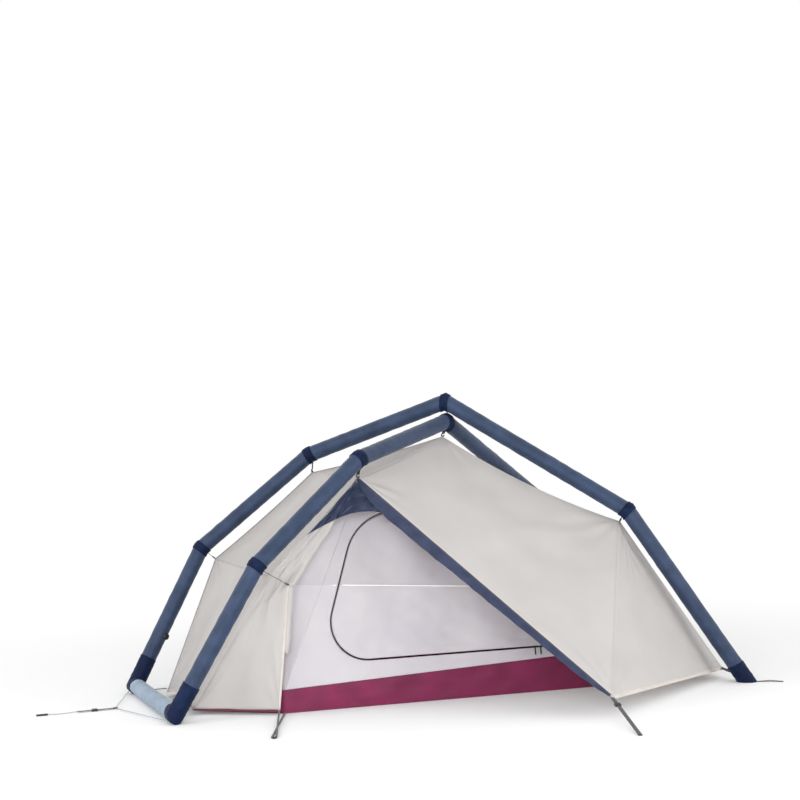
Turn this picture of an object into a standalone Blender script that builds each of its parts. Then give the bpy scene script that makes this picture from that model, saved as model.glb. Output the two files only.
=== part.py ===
"""Inflatable two-arch tent: an air frame, a fly sheet hung under it, an inner tent and its guys.

Units are metres. +Z is up, +X points to the head end, -Y to the entrance side.
The origin is on the ground under the point where the two arches cross.
The air frame is one unbroken run of fabric sleeves over air bladders: from the front head foot
over the crown to the rear foot corner, along the foot cross tube, and back over the crown, one
tube lower, to the rear head foot.
"""

import math

import bmesh
import bpy
import numpy as np
from mathutils import Matrix, Vector

# Air frame: the tube and the places of its kinks
tube_diameter = 0.067
sleeve_wall = 0.0008
bladder_wall = 0.0008
bladder_fit = 0.0005
collar_fit = 0.0003
collar_wall = 0.0020
crown_height = 1.197
crossing_gap = 0.0010
shoulder_x = 0.513
shoulder_y = 0.350
shoulder_z = 0.985
knee_x = 0.985
knee_y = 0.470
knee_z = 0.595
foot_x = 1.310
foot_y = 0.400
head_bend_x = 0.626
head_bend_y = 0.450
head_bend_z = 0.718
head_foot_x = 1.005
head_foot_y = 0.687
seam_gap = 0.0006
tube_sides = 20
bladder_sides = 16

# Collars over the kinks, cuffs and cups at the feet
collar_reach = 0.019
cuff_leg_reach = 0.170
cuff_cross_reach = 0.050
cuff_wall = 0.0012
cup_reach = 0.085
cup_seat = 0.0005

# Hangers that carry the fly: a webbing tab and a wire hook
hanger_width = 0.012
hanger_thickness = 0.0020
hanger_bite = 0.0014
hook_wire = 0.0040
hook_radius = 0.0065
hook_clearance = 0.0005
hook_overlap = 0.0012
hook_turn_deg = 285.0
hook_points = 10

# Bladder valve on the rear shin
valve_height = 0.240
valve_stem_radius = 0.0080
valve_clearance = 0.0004
valve_flange_radius = 0.0140
valve_flange_thickness = 0.0030
valve_cap_radius = 0.0130
valve_cap_height = 0.0055
valve_cap_edge = 0.0012
valve_grip_height = 0.0035
valve_grip_width = 0.0030
valve_hinge_radius = 0.0018
valve_hinge_width = 0.0100
valve_sides = 24

# Fly sheet: its corners and its cloth
cloth_thickness = 0.0009
cloth_seam = 0.0004
fly_crown_x = -0.020
fly_crown_z = 1.045
fly_shoulder_x = 0.513
fly_shoulder_y = 0.320
fly_shoulder_z = 0.905
fly_knee_x = 0.932
fly_knee_y = 0.428
fly_knee_z = 0.548
fly_foot_x = 1.205
fly_foot_y = 0.240
fly_foot_z = 0.022
fly_bend_x = 0.605
fly_bend_y = 0.415
fly_bend_z = 0.668
fly_head_x = 0.995
fly_head_y = 0.540
fly_head_z = 0.037
porch_x = 0.197
porch_y = 1.135
porch_z = 0.075
hem_foot_x = 0.905
hem_foot_y = 0.432
hem_foot_z = 0.018
edge_knee_x = 0.847
edge_knee_y = 0.424
edge_knee_z = 0.506
gusset_foot_x = 0.630
gusset_foot_y = 0.362
gusset_foot_z = 0.745
rear_hem_x = 0.520
rear_hem_y = 0.585
rear_hem_z = 0.030
ridge_sag = 0.008
crown_ridge_sag = 0.030
hem_rise = 0.030
fold_depth = 0.0035
panel_draw = 0.012

# Storm flap and its zip, peak gusset and rolled door
flap_width = 0.050
flap_thickness = 0.0012
flap_standoff = 0.0018
flap_edge_inset = 0.0030
zip_bead = 0.0040
zip_gap = 0.0005
fly_slider_length = 0.016
fly_slider_wall = 0.0016
fly_slider_slot_deg = 58.0
fly_slider_share = 0.955
gusset_reach_share = 0.215
gusset_sag = 0.022
gusset_top_share = 0.16
gusset_seam = 0.0013
roll_radius = 0.013
roll_seat = 0.0012
roll_top_share = 0.36
roll_low_share = 0.93
roll_fold_share = 0.10
roll_sides = 14

# Inner tent and its tub floor
wall_thickness = 0.0008
inner_crown_z = 0.985
inner_shoulder_x = 0.505
inner_shoulder_y = 0.287
inner_shoulder_z = 0.855
inner_bend_x = 0.595
inner_bend_z = 0.605
inner_knee_x = 0.885
inner_knee_y = 0.375
inner_knee_z = 0.490
inner_foot_rise = 0.012
inner_head_rise = 0.030
tub_foot_x = 1.165
tub_foot_y = 0.165
tub_foot_height = 0.075
tub_corner_x = 0.874
tub_corner_y = 0.407
tub_corner_height = 0.092
tub_waist_x = 0.450
tub_waist_y = 0.482
tub_waist_height = 0.147
tub_head_x = 0.905
tub_head_y = 0.400
tub_head_height = 0.110
tub_thickness = 0.0015
wall_seat = 0.0006
clip_width = 0.006
clip_thickness = 0.0016
clip_seat = 0.0030

# Door of the inner tent, with its zip and sliders
door_left_low_x = -0.645
door_left_high_x = -0.560
door_low_z = 0.187
door_left_high_z = 0.800
door_right_low_x = 0.400
door_right_high_x = 0.205
door_right_high_z = 0.655
door_low_radius = 0.130
door_high_radius = 0.200
door_hinge_radius = 0.030
door_gap = 0.0074
hinge_gap = 0.0014
zip_width = 0.0034
slider_wall = 0.0014
slider_clearance = 0.0004
slider_length = 0.016
slider_left_x = 0.180
slider_spacing = 0.024
puller_length = 0.034
puller_width = 0.0050
puller_thickness = 0.0020
arc_steps = 6

# Guys, straps and pegs' loops
cord_diameter = 0.0028
webbing_width = 0.016
webbing_thickness = 0.0020
ground_gap = 0.0003
buckle_length = 0.022
buckle_wall = 0.0028
buckle_clearance = 0.0004
strap_gap = 0.0005
front_peg_x = 0.127
front_peg_y = 1.500
front_buckle_share = 0.20
ring_x = 1.462
ring_y = 0.053
ring_radius = 0.0100
ring_wire = 0.0036
strap_end_x = 1.615
left_buckle_x = 1.545
toggle_x = 1.757
toggle_length = 0.046
toggle_diameter = 0.0080
bridle_height = 0.012
head_strap_length = 0.130
peg_loop_x = 1.052
peg_loop_y = 0.888
peg_loop_diameter = 0.0045
bite = 0.0008
overrun = 0.020

# Facets of the cloth panels: the rows of one span of a ridge, and those across a panel
rows_span = 10
rows_across = 8
opening_steps = (6, 6, 8)

BLUE = (0.075, 0.105, 0.17)
NAVY = (0.012, 0.022, 0.055)
BLACK = (0.012, 0.012, 0.014)
FLY = (0.66, 0.62, 0.57)
INNER = (0.78, 0.77, 0.80)
FLOOR = (0.27, 0.030, 0.11)
GREY = (0.45, 0.47, 0.50)

UP = Vector((0.0, 0.0, 1.0))
TENT_MIDDLE = Vector((0.0, 0.0, inner_knee_z))

FRAME_RUN = ("front_head_foot", "front_bend", "crown_upper", "rear_shoulder", "rear_knee", "rear_foot",
             "front_foot", "front_knee", "front_shoulder", "crown_lower", "rear_bend", "rear_head_foot")
SLEEVES = ("sleeve_front_head_leg", "sleeve_front_head_crown", "sleeve_rear_foot_crown",
           "sleeve_rear_foot_thigh", "sleeve_rear_foot_shin", "sleeve_foot_cross",
           "sleeve_front_foot_shin", "sleeve_front_foot_thigh", "sleeve_front_foot_crown",
           "sleeve_rear_head_crown", "sleeve_rear_head_leg")


class Collections:
    """The collection of the parts and that of the cutters and joined shapes."""

    parts = None
    helpers = None


def clear_scene():
    """Removes every object of the open scene and makes the two collections."""
    for obj in list(bpy.data.objects):
        bpy.data.objects.remove(obj)
    Collections.parts = bpy.data.collections.new("Inflatable tent")
    Collections.helpers = bpy.data.collections.new("Cutters and joined shapes")
    bpy.context.scene.collection.children.link(Collections.parts)
    bpy.context.scene.collection.children.link(Collections.helpers)


def material(name, colour, roughness, metallic):
    """A plain Principled material."""
    made = bpy.data.materials.new(name)
    made.use_nodes = True
    shader = made.node_tree.nodes["Principled BSDF"]
    shader.inputs["Base Color"].default_value = (*colour, 1.0)
    shader.inputs["Roughness"].default_value = roughness
    shader.inputs["Metallic"].default_value = metallic
    return made


def publish(name, data, colour, roughness=0.7, metallic=0.0, smooth=False, place=None):
    """Puts a mesh or curve into the part collection as one named object with its own material."""
    obj = bpy.data.objects.new(name, data)
    Collections.parts.objects.link(obj)
    data.materials.append(material(name, colour, roughness, metallic))
    if place:
        obj.matrix_world = place
    if smooth:
        data.shade_smooth()
        data.set_sharp_from_angle(angle=math.radians(40))
    return obj


def helper(name, mesh):
    """Puts a mesh that another object cuts with or joins to into the hidden collection."""
    obj = bpy.data.objects.new(name, mesh)
    Collections.helpers.objects.link(obj)
    obj.hide_render = True
    obj.display_type = "WIRE"
    return obj


def finish_mesh(bm, name):
    """Writes a closed bmesh to a new mesh, with its faces turned outwards."""
    bmesh.ops.recalc_face_normals(bm, faces=bm.faces)
    mesh = bpy.data.meshes.new(name)
    bm.to_mesh(mesh)
    bm.free()
    return mesh


def solidify(obj, thickness, offset):
    """Gives an open surface its wall."""
    modifier = obj.modifiers.new("Wall", "SOLIDIFY")
    modifier.thickness = thickness
    modifier.offset = offset
    modifier.use_even_offset = True


def combine(obj, other, operation):
    """Joins another solid to an object, or cuts it away, with the exact solver."""
    modifier = obj.modifiers.new(other.name, "BOOLEAN")
    modifier.operation = operation
    modifier.solver = "EXACT"
    modifier.object = other


def turned(direction, towards):
    """A turn whose Z runs along a direction and whose X leans towards another."""
    z_axis = direction.normalized()
    x_axis = (towards - z_axis * towards.dot(z_axis)).normalized()
    y_axis = z_axis.cross(x_axis)
    return Matrix((x_axis, y_axis, z_axis)).transposed().to_4x4()


def box_mesh(name, size, place):
    """A box primitive of full sizes along the axes of a placement matrix, centred on it."""
    bm = bmesh.new()
    bmesh.ops.create_cube(bm, size=1.0, matrix=place @ Matrix.Diagonal((*size, 1.0)))
    return finish_mesh(bm, name)


def cylinder_mesh(name, radius, low, high, place, sides):
    """A closed cylinder along the Z of a placement matrix, from low to high."""
    bm = bmesh.new()
    middle = place @ Matrix.Translation((0.0, 0.0, (low + high) / 2))
    bmesh.ops.create_cone(bm, cap_ends=True, segments=sides, radius1=radius, radius2=radius,
                          depth=high - low, matrix=middle)
    return finish_mesh(bm, name)


def curve_data(name, paths, bevel, resolution=2, closed=False):
    """A curve of straight spans, with a round section and filled caps."""
    data = bpy.data.curves.new(name, "CURVE")
    data.dimensions = "3D"
    data.bevel_depth = bevel
    data.bevel_resolution = resolution
    data.use_fill_caps = not closed
    for path in paths:
        spline = data.splines.new("POLY")
        spline.points.add(len(path) - 1)
        for point, place in zip(spline.points, path):
            point.co = (*place, 1.0)
        spline.use_cyclic_u = closed
    return data


def flat_curve(name, outlines, thickness):
    """A flat plate: 2D outlines, the inner ones holes, given a thickness about their plane."""
    data = bpy.data.curves.new(name, "CURVE")
    data.dimensions = "2D"
    data.fill_mode = "BOTH"
    data.extrude = thickness / 2
    for outline in outlines:
        spline = data.splines.new("POLY")
        spline.points.add(len(outline) - 1)
        for point, (x, y) in zip(spline.points, outline):
            point.co = (x, y, 0.0, 1.0)
        spline.use_cyclic_u = True
    return data


def as_mesh(name, data, place=None):
    """The welded mesh of a curve, with a placement taken into its points."""
    obj = bpy.data.objects.new(name, data)
    bpy.context.scene.collection.objects.link(obj)
    graph = bpy.context.evaluated_depsgraph_get()
    mesh = bpy.data.meshes.new_from_object(obj.evaluated_get(graph))
    bpy.data.objects.remove(obj)
    bm = bmesh.new()
    bm.from_mesh(mesh)
    bmesh.ops.remove_doubles(bm, verts=bm.verts, dist=1e-6)
    bm.to_mesh(mesh)
    bm.free()
    if place:
        mesh.transform(place)
    return mesh


def mitre(before, corner, after):
    """The normal of the plane that halves the bend at a corner."""
    return ((corner - before).normalized() + (after - corner).normalized()).normalized()


def face_away(bm, point, axis=None):
    """Turns the faces of an open surface to point away from a point, or from the axis through it."""
    bmesh.ops.recalc_face_normals(bm, faces=bm.faces)
    bm.normal_update()
    total = 0.0
    for face in bm.faces:
        away = face.calc_center_median() - point
        if axis:
            away -= axis * away.dot(axis)
        total += face.normal.dot(away) * face.calc_area()
    if total < 0:
        bmesh.ops.reverse_faces(bm, faces=bm.faces)


def slide_to_plane(verts, direction, point, normal):
    """Slides vertices along a direction until they lie in a plane."""
    for vert in verts:
        vert.co += direction * ((point - vert.co).dot(normal) / direction.dot(normal))


def tube(name, path, radius, wall, colour, side, start=None, end=None, sides=tube_sides, capped=False,
         roughness=0.6):
    """A hollow tube of an outer radius along straight runs, each ring in the plane that halves its bend.
    A corner of its section points along side."""
    run = (path[1] - path[0]).normalized()
    bm = bmesh.new()
    made = bmesh.ops.create_circle(bm, segments=sides, radius=radius, cap_ends=capped,
                                   matrix=Matrix.Translation(path[0]) @ turned(run, side))
    ring = made["verts"]
    slide_to_plane(ring, run, path[0], start or run)
    for index in range(1, len(path)):
        run = (path[index] - path[index - 1]).normalized()
        if index < len(path) - 1:
            normal = mitre(path[index - 1], path[index], path[index + 1])
        else:
            normal = end or run
        edges = [edge for edge in bm.edges if edge.verts[0] in ring and edge.verts[1] in ring]
        grown = bmesh.ops.extrude_edge_only(bm, edges=edges)
        ring = [item for item in grown["geom"] if isinstance(item, bmesh.types.BMVert)]
        slide_to_plane(ring, run, path[index], normal)
    face_away(bm, path[-1], run)
    mesh = bpy.data.meshes.new(name)
    bm.to_mesh(mesh)
    bm.free()
    obj = publish(name, mesh, colour, roughness, smooth=True)
    solidify(obj, wall, -1.0)
    return obj


def mirrored(point):
    """The same place on the other side of the tent."""
    return Vector((point.x, -point.y, point.z))


def both_sides(front):
    """Named places of the front side, and their mirror images on the rear side."""
    places = {"front_" + key: place for key, place in front.items()}
    places.update({"rear_" + key: mirrored(place) for key, place in front.items()})
    return places


def frame_places():
    """The kinks of the air frame on the tube's centre line."""
    ground = tube_diameter / 2 + collar_fit + cuff_wall
    steep = Vector((head_bend_x, head_bend_y, crown_height - head_bend_z))
    level_share = steep.xy.length / steep.length
    pile = (tube_diameter + 2 * (collar_fit + collar_wall) + crossing_gap) / level_share
    bend = Vector((head_bend_x, -head_bend_y, head_bend_z))
    toe = Vector((head_foot_x, -head_foot_y, tube_diameter / 2))
    places = both_sides({
        "foot": Vector((-foot_x, -foot_y, ground)),
        "knee": Vector((-knee_x, -knee_y, knee_z)),
        "shoulder": Vector((-shoulder_x, -shoulder_y, shoulder_z)),
        "bend": bend,
        "head_foot": toe + (toe - bend) * (toe.z / (bend.z - toe.z)),
    })
    places["crown_upper"] = Vector((0.0, 0.0, crown_height))
    places["crown_lower"] = Vector((0.0, 0.0, crown_height - pile))
    return places


def fly_places():
    """The corners of the fly sheet, on its inner face."""
    places = both_sides({
        "shoulder": Vector((-fly_shoulder_x, -fly_shoulder_y, fly_shoulder_z)),
        "knee": Vector((-fly_knee_x, -fly_knee_y, fly_knee_z)),
        "foot": Vector((-fly_foot_x, -fly_foot_y, fly_foot_z)),
        "bend": Vector((fly_bend_x, -fly_bend_y, fly_bend_z)),
        "head": Vector((fly_head_x, -fly_head_y, fly_head_z)),
        "hem_foot": Vector((-hem_foot_x, -hem_foot_y, hem_foot_z)),
        "hem_head": Vector((rear_hem_x, -rear_hem_y, rear_hem_z)),
        "edge_knee": Vector((-edge_knee_x, -edge_knee_y, edge_knee_z)),
        "gusset": Vector((-gusset_foot_x, -gusset_foot_y, gusset_foot_z)),
    })
    places["crown"] = Vector((fly_crown_x, 0.0, fly_crown_z))
    places["porch"] = Vector((porch_x, -porch_y, porch_z))
    return places


def inner_places():
    """The corners of the inner tent and the top corners of its tub."""
    places = both_sides({
        "shoulder": Vector((-inner_shoulder_x, -inner_shoulder_y, inner_shoulder_z)),
        "knee": Vector((-inner_knee_x, -inner_knee_y, inner_knee_z)),
        "tub_foot": Vector((-tub_foot_x, -tub_foot_y, tub_foot_height)),
        "tub_corner": Vector((-tub_corner_x, -tub_corner_y, tub_corner_height)),
        "tub_waist": Vector((tub_waist_x, -tub_waist_y, tub_waist_height)),
        "tub_head": Vector((tub_head_x, -tub_head_y, tub_head_height)),
    })
    bend = on_front_wall(inner_bend_x, inner_bend_z)
    places["front_bend"] = bend
    places["rear_bend"] = mirrored(bend)
    places["crown"] = Vector((fly_crown_x, 0.0, inner_crown_z))
    return places


def front_wall_plane():
    """The plane of the inner tent's front wall: a point, the run along its foot, its rise and its outer normal."""
    corner = Vector((-tub_corner_x, -tub_corner_y, tub_corner_height))
    waist = Vector((tub_waist_x, -tub_waist_y, tub_waist_height))
    shoulder = Vector((-inner_shoulder_x, -inner_shoulder_y, inner_shoulder_z))
    run = (waist - corner).normalized()
    normal = run.cross(shoulder - corner).normalized()
    return corner, run, normal.cross(run), normal


def on_front_wall(x, z):
    """The place on the front wall's plane with the given x and z."""
    corner, _, _, normal = front_wall_plane()
    y = corner.y - ((x - corner.x) * normal.x + (z - corner.z) * normal.z) / normal.y
    return Vector((x, y, z))


def section_sides(places):
    """For each run of the frame, the way that a corner of its round section points, turned with each kink."""
    run = [places[name] for name in FRAME_RUN]
    sides = [UP]
    for before, corner, after in zip(run, run[1:], run[2:]):
        turn = (corner - before).rotation_difference(after - corner)
        sides.append(turn @ sides[-1])
    return sides


def build_sleeves(places):
    """The sleeve segments of the frame and the air bladders inside them."""
    run = [places[name] for name in FRAME_RUN]
    for end, inner in ((0, 1), (-1, -2)):
        slope = (run[inner] - run[end]) / (run[inner].z - run[end].z)
        run[end] = run[end] + slope * (cuff_wall + cup_seat)
    radius = tube_diameter / 2
    bladder_radius = radius - sleeve_wall - bladder_fit
    sides = section_sides(places)
    normals = [UP] + [mitre(*run[i - 1:i + 2]) for i in range(1, len(run) - 1)] + [UP]
    for index, name in enumerate(SLEEVES):
        low, high = run[index], run[index + 1]
        ends = trimmed(low, high, normals[index], normals[index + 1], sleeve_wall,
                       index > 0, index < len(SLEEVES) - 1)
        obj = tube(name, ends, radius, sleeve_wall, BLUE, sides[index], normals[index], normals[index + 1])
        if name == "sleeve_rear_foot_shin":
            _, place = valve_place(places)
            hole = cylinder_mesh("valve_hole", valve_stem_radius + valve_clearance, bladder_radius - bladder_wall,
                                 radius + overrun, place, valve_sides)
            combine(obj, helper("valve_hole", hole), "DIFFERENCE")
    for name, low, high in (("bladder_upper_arch", 0, 5), ("bladder_foot_cross", 5, 6),
                            ("bladder_lower_arch", 6, 11)):
        path = list(run[low:high + 1])
        if low:
            path[0] = trimmed(path[0], path[1], normals[low], normals[low], bladder_wall, True, False)[0]
        if high < 11:
            path[-1] = trimmed(path[-2], path[-1], normals[high], normals[high], bladder_wall, False, True)[1]
        tube(name, path, bladder_radius, bladder_wall, GREY, sides[low], normals[low], normals[high],
             bladder_sides)


def trimmed(low, high, low_normal, high_normal, wall, at_low, at_high):
    """The ends of a run, each drawn back from its mitre by half the seam and the wall's lean there."""
    along = (high - low).normalized()
    ends = []
    for place, normal, drawn, sign in ((low, low_normal, at_low, 1.0), (high, high_normal, at_high, -1.0)):
        cosine = abs(along.dot(normal))
        lean = math.sqrt(max(0.0, 1.0 - cosine * cosine)) / cosine
        back = (seam_gap / 2) / cosine + wall * lean if drawn else 0.0
        ends.append(place + along * sign * back)
    return ends


def hanger_root(places, corner_name, target):
    """Where a hanger leaves its collar in the plane that halves the bend: the plane's normal, the way out and
    the distance from the kink to the collar's face."""
    index = FRAME_RUN.index(corner_name)
    before, corner, after = (places[FRAME_RUN[i]] for i in (index - 1, index, index + 1))
    normal = mitre(before, corner, after)
    out = target - corner
    out = (out - normal * out.dot(normal)).normalized()
    radius = tube_diameter / 2 + collar_fit + collar_wall
    return normal, out, radius / out.cross((after - corner).normalized()).length


def hanger_shapes(name, places, corner_name, target):
    """The webbing tab and the wire hook of a hanger, from a collar down to a corner of the fly."""
    normal, out, distance = hanger_root(places, corner_name, target)
    start = places[corner_name] + out * (distance - hanger_bite)
    direction = (target - start).normalized()
    reach = (target - start).length - cloth_thickness - hook_clearance
    hook_middle = reach - hook_radius - hook_wire / 2
    tab_length = hook_middle - hook_radius + hook_overlap
    side = normal.cross(out)
    skew = Matrix((side * hanger_width, normal * hanger_thickness, direction * tab_length)).transposed().to_4x4()
    tab = box_mesh(name + "_tab", (1.0, 1.0, 1.0),
                   Matrix.Translation(start + direction * tab_length / 2) @ skew)
    place = Matrix.Translation(start) @ turned(direction, side)
    turns = np.radians(np.linspace(-90.0, hook_turn_deg - 90.0, hook_points))
    path = [(hook_radius * math.cos(t), 0.0, hook_middle + hook_radius * math.sin(t)) for t in turns]
    hook = as_mesh(name + "_hook", curve_data(name + "_hook", [path], hook_wire / 2, 1), place)
    return helper(name + "_tab", tab), helper(name + "_hook", hook)


def build_collars(places, fly):
    """The seam collars over the kinks, with the hangers sewn to them."""
    radius = tube_diameter / 2 + collar_fit + collar_wall
    sides = section_sides(places)
    hung = {
        "front_bend": "front_bend", "rear_shoulder": "rear_shoulder", "rear_knee": "rear_knee",
        "front_knee": "front_knee", "front_shoulder": "front_shoulder", "crown_lower": "crown",
        "rear_bend": "rear_bend",
    }
    for index, key in enumerate(FRAME_RUN):
        if key.endswith("foot"):
            continue
        before, corner, after = (places[FRAME_RUN[i]] for i in (index - 1, index, index + 1))
        path = [corner + (before - corner).normalized() * collar_reach, corner,
                corner + (after - corner).normalized() * collar_reach]
        name = "collar_" + key
        obj = tube(name, path, radius, collar_wall, NAVY, sides[index - 1])
        if key in hung:
            for shape in hanger_shapes(name, places, key, fly[hung[key]]):
                combine(obj, shape, "UNION")


def build_cuffs(places, fly):
    """The cuffs over the foot corners and the cups under the head feet, with their sewn straps."""
    radius = tube_diameter / 2 + collar_fit + cuff_wall
    section = dict(zip(SLEEVES, section_sides(places)))
    for side in ("front", "rear"):
        other = "rear" if side == "front" else "front"
        corner = places[side + "_foot"]
        knee, across = places[side + "_knee"], places[other + "_foot"]
        path = [corner + (knee - corner).normalized() * cuff_leg_reach, corner,
                corner + (across - corner).normalized() * cuff_cross_reach]
        tube(f"cuff_{side}_foot", path, radius, cuff_wall, NAVY, section[f"sleeve_{side}_foot_shin"])
        foot, bend = places[side + "_head_foot"], places[side + "_bend"]
        rise = (bend - foot).normalized()
        cup = tube(f"cup_{side}_head", [foot, foot + rise * cup_reach], radius, cuff_wall, NAVY,
                   section[f"sleeve_{side}_head_leg"], UP, None, capped=True)
        target = fly[side + "_head"]
        middle = foot + rise * ((target.z - foot.z) / rise.z)
        level = Vector((target.x - middle.x, target.y - middle.y, 0.0))
        combine(cup, strap_helper(f"strap_{side}_head", middle, target, rise, radius, level), "UNION")


def strap_helper(name, middle, target, axis, radius, level):
    """A webbing strap from the face of a round foot to a corner of the fly."""
    direction = level.normalized()
    start = radius / direction.cross(axis).length - bite
    end = level.length - 2 * webbing_thickness - strap_gap
    side = axis.cross(direction).normalized()
    skew = Matrix((axis * webbing_width, side * webbing_thickness, direction * (end - start)))
    place = Matrix.Translation(middle + direction * (start + end) / 2) @ skew.transposed().to_4x4()
    return helper(name, box_mesh(name, (1.0, 1.0, 1.0), place))


def valve_place(places):
    """The foot of the valve on the shin's axis, with Z pointing out of the tube."""
    foot, knee = places["rear_foot"], places["rear_knee"]
    along = (knee - foot).normalized()
    middle = foot + along * ((valve_height - foot.z) / along.z)
    out = Vector((1.0, -1.0, 0.0))
    out = (out - along * out.dot(along)).normalized()
    return along, Matrix.Translation(middle) @ turned(out, along)


def build_valve(places):
    """The inflation valve: a stem through the sleeve, its flange, and the hinged cap."""
    _, place = valve_place(places)
    radius = tube_diameter / 2
    stem_low = radius - sleeve_wall - bladder_fit + valve_clearance
    flange_low = radius + valve_clearance
    flange_high = flange_low + valve_flange_thickness
    body = publish("valve_body", cylinder_mesh("valve_body", valve_flange_radius, flange_low, flange_high,
                                               place, valve_sides), BLACK, 0.5, smooth=True)
    stem = cylinder_mesh("valve_stem", valve_stem_radius, stem_low, flange_low + valve_clearance, place,
                         valve_sides)
    combine(body, helper("valve_stem", stem), "UNION")
    cap_low = flange_high + valve_clearance
    cap_high = cap_low + valve_cap_height
    cap = publish("valve_cap", cylinder_mesh("valve_cap", valve_cap_radius, cap_low, cap_high, place,
                                             valve_sides), BLACK, 0.45, smooth=True)
    bevel = cap.modifiers.new("Edge", "BEVEL")
    bevel.width = valve_cap_edge
    bevel.segments = 2
    grip = box_mesh("valve_grip", (2 * valve_cap_radius - 4 * valve_cap_edge, valve_grip_width,
                                   valve_grip_height + valve_cap_edge),
                    place @ Matrix.Translation((0.0, 0.0, cap_high + (valve_grip_height - valve_cap_edge) / 2)))
    combine(cap, helper("valve_grip", grip), "UNION")
    knuckle_place = place @ Matrix.Translation((0.0, valve_cap_radius + valve_hinge_radius / 2,
                                                cap_low + valve_hinge_radius))
    knuckle = cylinder_mesh("valve_knuckle", valve_hinge_radius, -valve_hinge_width / 2,
                            valve_hinge_width / 2,
                            knuckle_place @ Matrix.Rotation(math.radians(90), 4, "Y"), 12)
    combine(cap, helper("valve_knuckle", knuckle), "UNION")


def edge(*places, sag=0.0, steps=rows_span):
    """A run of straight or sagging spans between places, as an array of points, with the steps of each span."""
    spans = len(places) - 1
    sags = sag if isinstance(sag, (tuple, list)) else [sag] * spans
    counts = steps if isinstance(steps, (tuple, list)) else [steps] * spans
    points = []
    for first, last, drop, count in zip(places, places[1:], sags, counts):
        share = np.linspace(0.0, 1.0, count + 1)[:, None]
        span = np.array(first) * (1 - share) + np.array(last) * share
        span[:, 2:] -= 4 * drop * share * (1 - share)
        points.append(span if not points else span[1:])
    return np.vstack(points)


def along(points, share):
    """The points of a run at shares of its length in spans."""
    at = share * (len(points) - 1)
    return np.stack([np.interp(at, np.arange(len(points)), points[:, axis]) for axis in range(3)], axis=-1)


class Patch:
    """A cloth surface blended between four edges: left and right run with v, low and high with u."""

    def __init__(self, left, right, low=None, high=None, draw=0.0, folds=0.0, depth=fold_depth):
        self.left, self.right = left, right
        self.low = edge(left[0], right[0]) if low is None else low
        self.high = edge(left[-1], right[-1]) if high is None else high
        self.draw, self.folds, self.depth = draw, folds, depth
        self.turn = self.outward_turn()

    def outward_turn(self):
        """Whether the blend's own normal points away from the middle of the tent, as 1 or -1."""
        share = (np.arange(6) + 0.5) / 6
        u, v = (grid.ravel() for grid in np.meshgrid(share, share))
        away = self.plain(u, v) - np.array(TENT_MIDDLE)
        return 1.0 if (self.raw_normal(u, v) * away).sum() > 0 else -1.0

    def plain(self, u, v):
        """The blend of the four edges at shares u and v."""
        across, down = u[:, None], v[:, None]
        sides = (1 - across) * along(self.left, v) + across * along(self.right, v)
        ends = (1 - down) * along(self.low, u) + down * along(self.high, u)
        corners = ((1 - across) * (1 - down) * self.left[0] + across * (1 - down) * self.right[0]
                   + (1 - across) * down * self.left[-1] + across * down * self.right[-1])
        return sides + ends - corners

    def raw_normal(self, u, v):
        """The unit normal of the plain blend, from its slopes at u and v."""
        step = 1e-3
        across = self.plain(np.minimum(u + step, 1.0), v) - self.plain(np.maximum(u - step, 0.0), v)
        down = self.plain(u, np.minimum(v + step, 1.0)) - self.plain(u, np.maximum(v - step, 0.0))
        found = np.cross(across, down)
        return found / (np.linalg.norm(found, axis=1, keepdims=True) + 1e-12)

    def normal(self, u, v):
        """The unit normal that points away from the middle of the tent."""
        return self.raw_normal(u, v) * self.turn

    def at(self, u, v, lift=0.0):
        """The place of the cloth: the blend, drawn in at its middle, with folds that die out at its edges."""
        inside = np.clip(4 * u * (1 - u), 0, 1) * np.clip(4 * v * (1 - v), 0, 1)
        waves = self.depth * np.sin(2 * math.pi * self.folds * u + math.pi * v) * inside
        offset = lift - self.draw * inside + (waves if self.folds else 0.0)
        return self.plain(u, v) + self.normal(u, v) * offset[:, None]


def panel(name, patch, colour, across=rows_across, down=rows_span, gap=cloth_seam, far_gap=cloth_seam,
          thickness=cloth_thickness, u_span=None, v_span=(0.0, 1.0), lift=0.0, roughness=0.8):
    """A grid primitive laid on a patch, kept back from its edges by the seam and given the cloth's thickness."""
    bm = bmesh.new()
    bmesh.ops.create_grid(bm, x_segments=across, y_segments=down, size=1.0)
    shares = np.array([vert.co for vert in bm.verts])[:, :2] / 2 + 0.5
    v = v_span[0] + shares[:, 1] * (v_span[1] - v_span[0])
    length = max(np.linalg.norm(np.diff(patch.left, axis=0), axis=1).sum(),
                 np.linalg.norm(np.diff(patch.right, axis=0), axis=1).sum())
    v = np.clip(v, gap / length, 1 - gap / length)
    width = np.linalg.norm(along(patch.left, v) - along(patch.right, v), axis=1)
    inset = np.minimum(gap / np.maximum(width, 1e-6), 0.3)
    far_inset = np.minimum(far_gap / np.maximum(width, 1e-6), 0.3)
    if u_span:
        u = (u_span[0] + shares[:, 0] * (u_span[1] - u_span[0])) / width
    else:
        u = inset + shares[:, 0] * (1 - inset - far_inset)
    places = patch.at(u, v, lift)
    for vert, place in zip(bm.verts, places):
        vert.co = place
    face_away(bm, TENT_MIDDLE)
    mesh = bpy.data.meshes.new(name)
    bm.to_mesh(mesh)
    bm.free()
    obj = publish(name, mesh, colour, roughness, smooth=True)
    solidify(obj, thickness, 1.0)
    return obj


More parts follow.
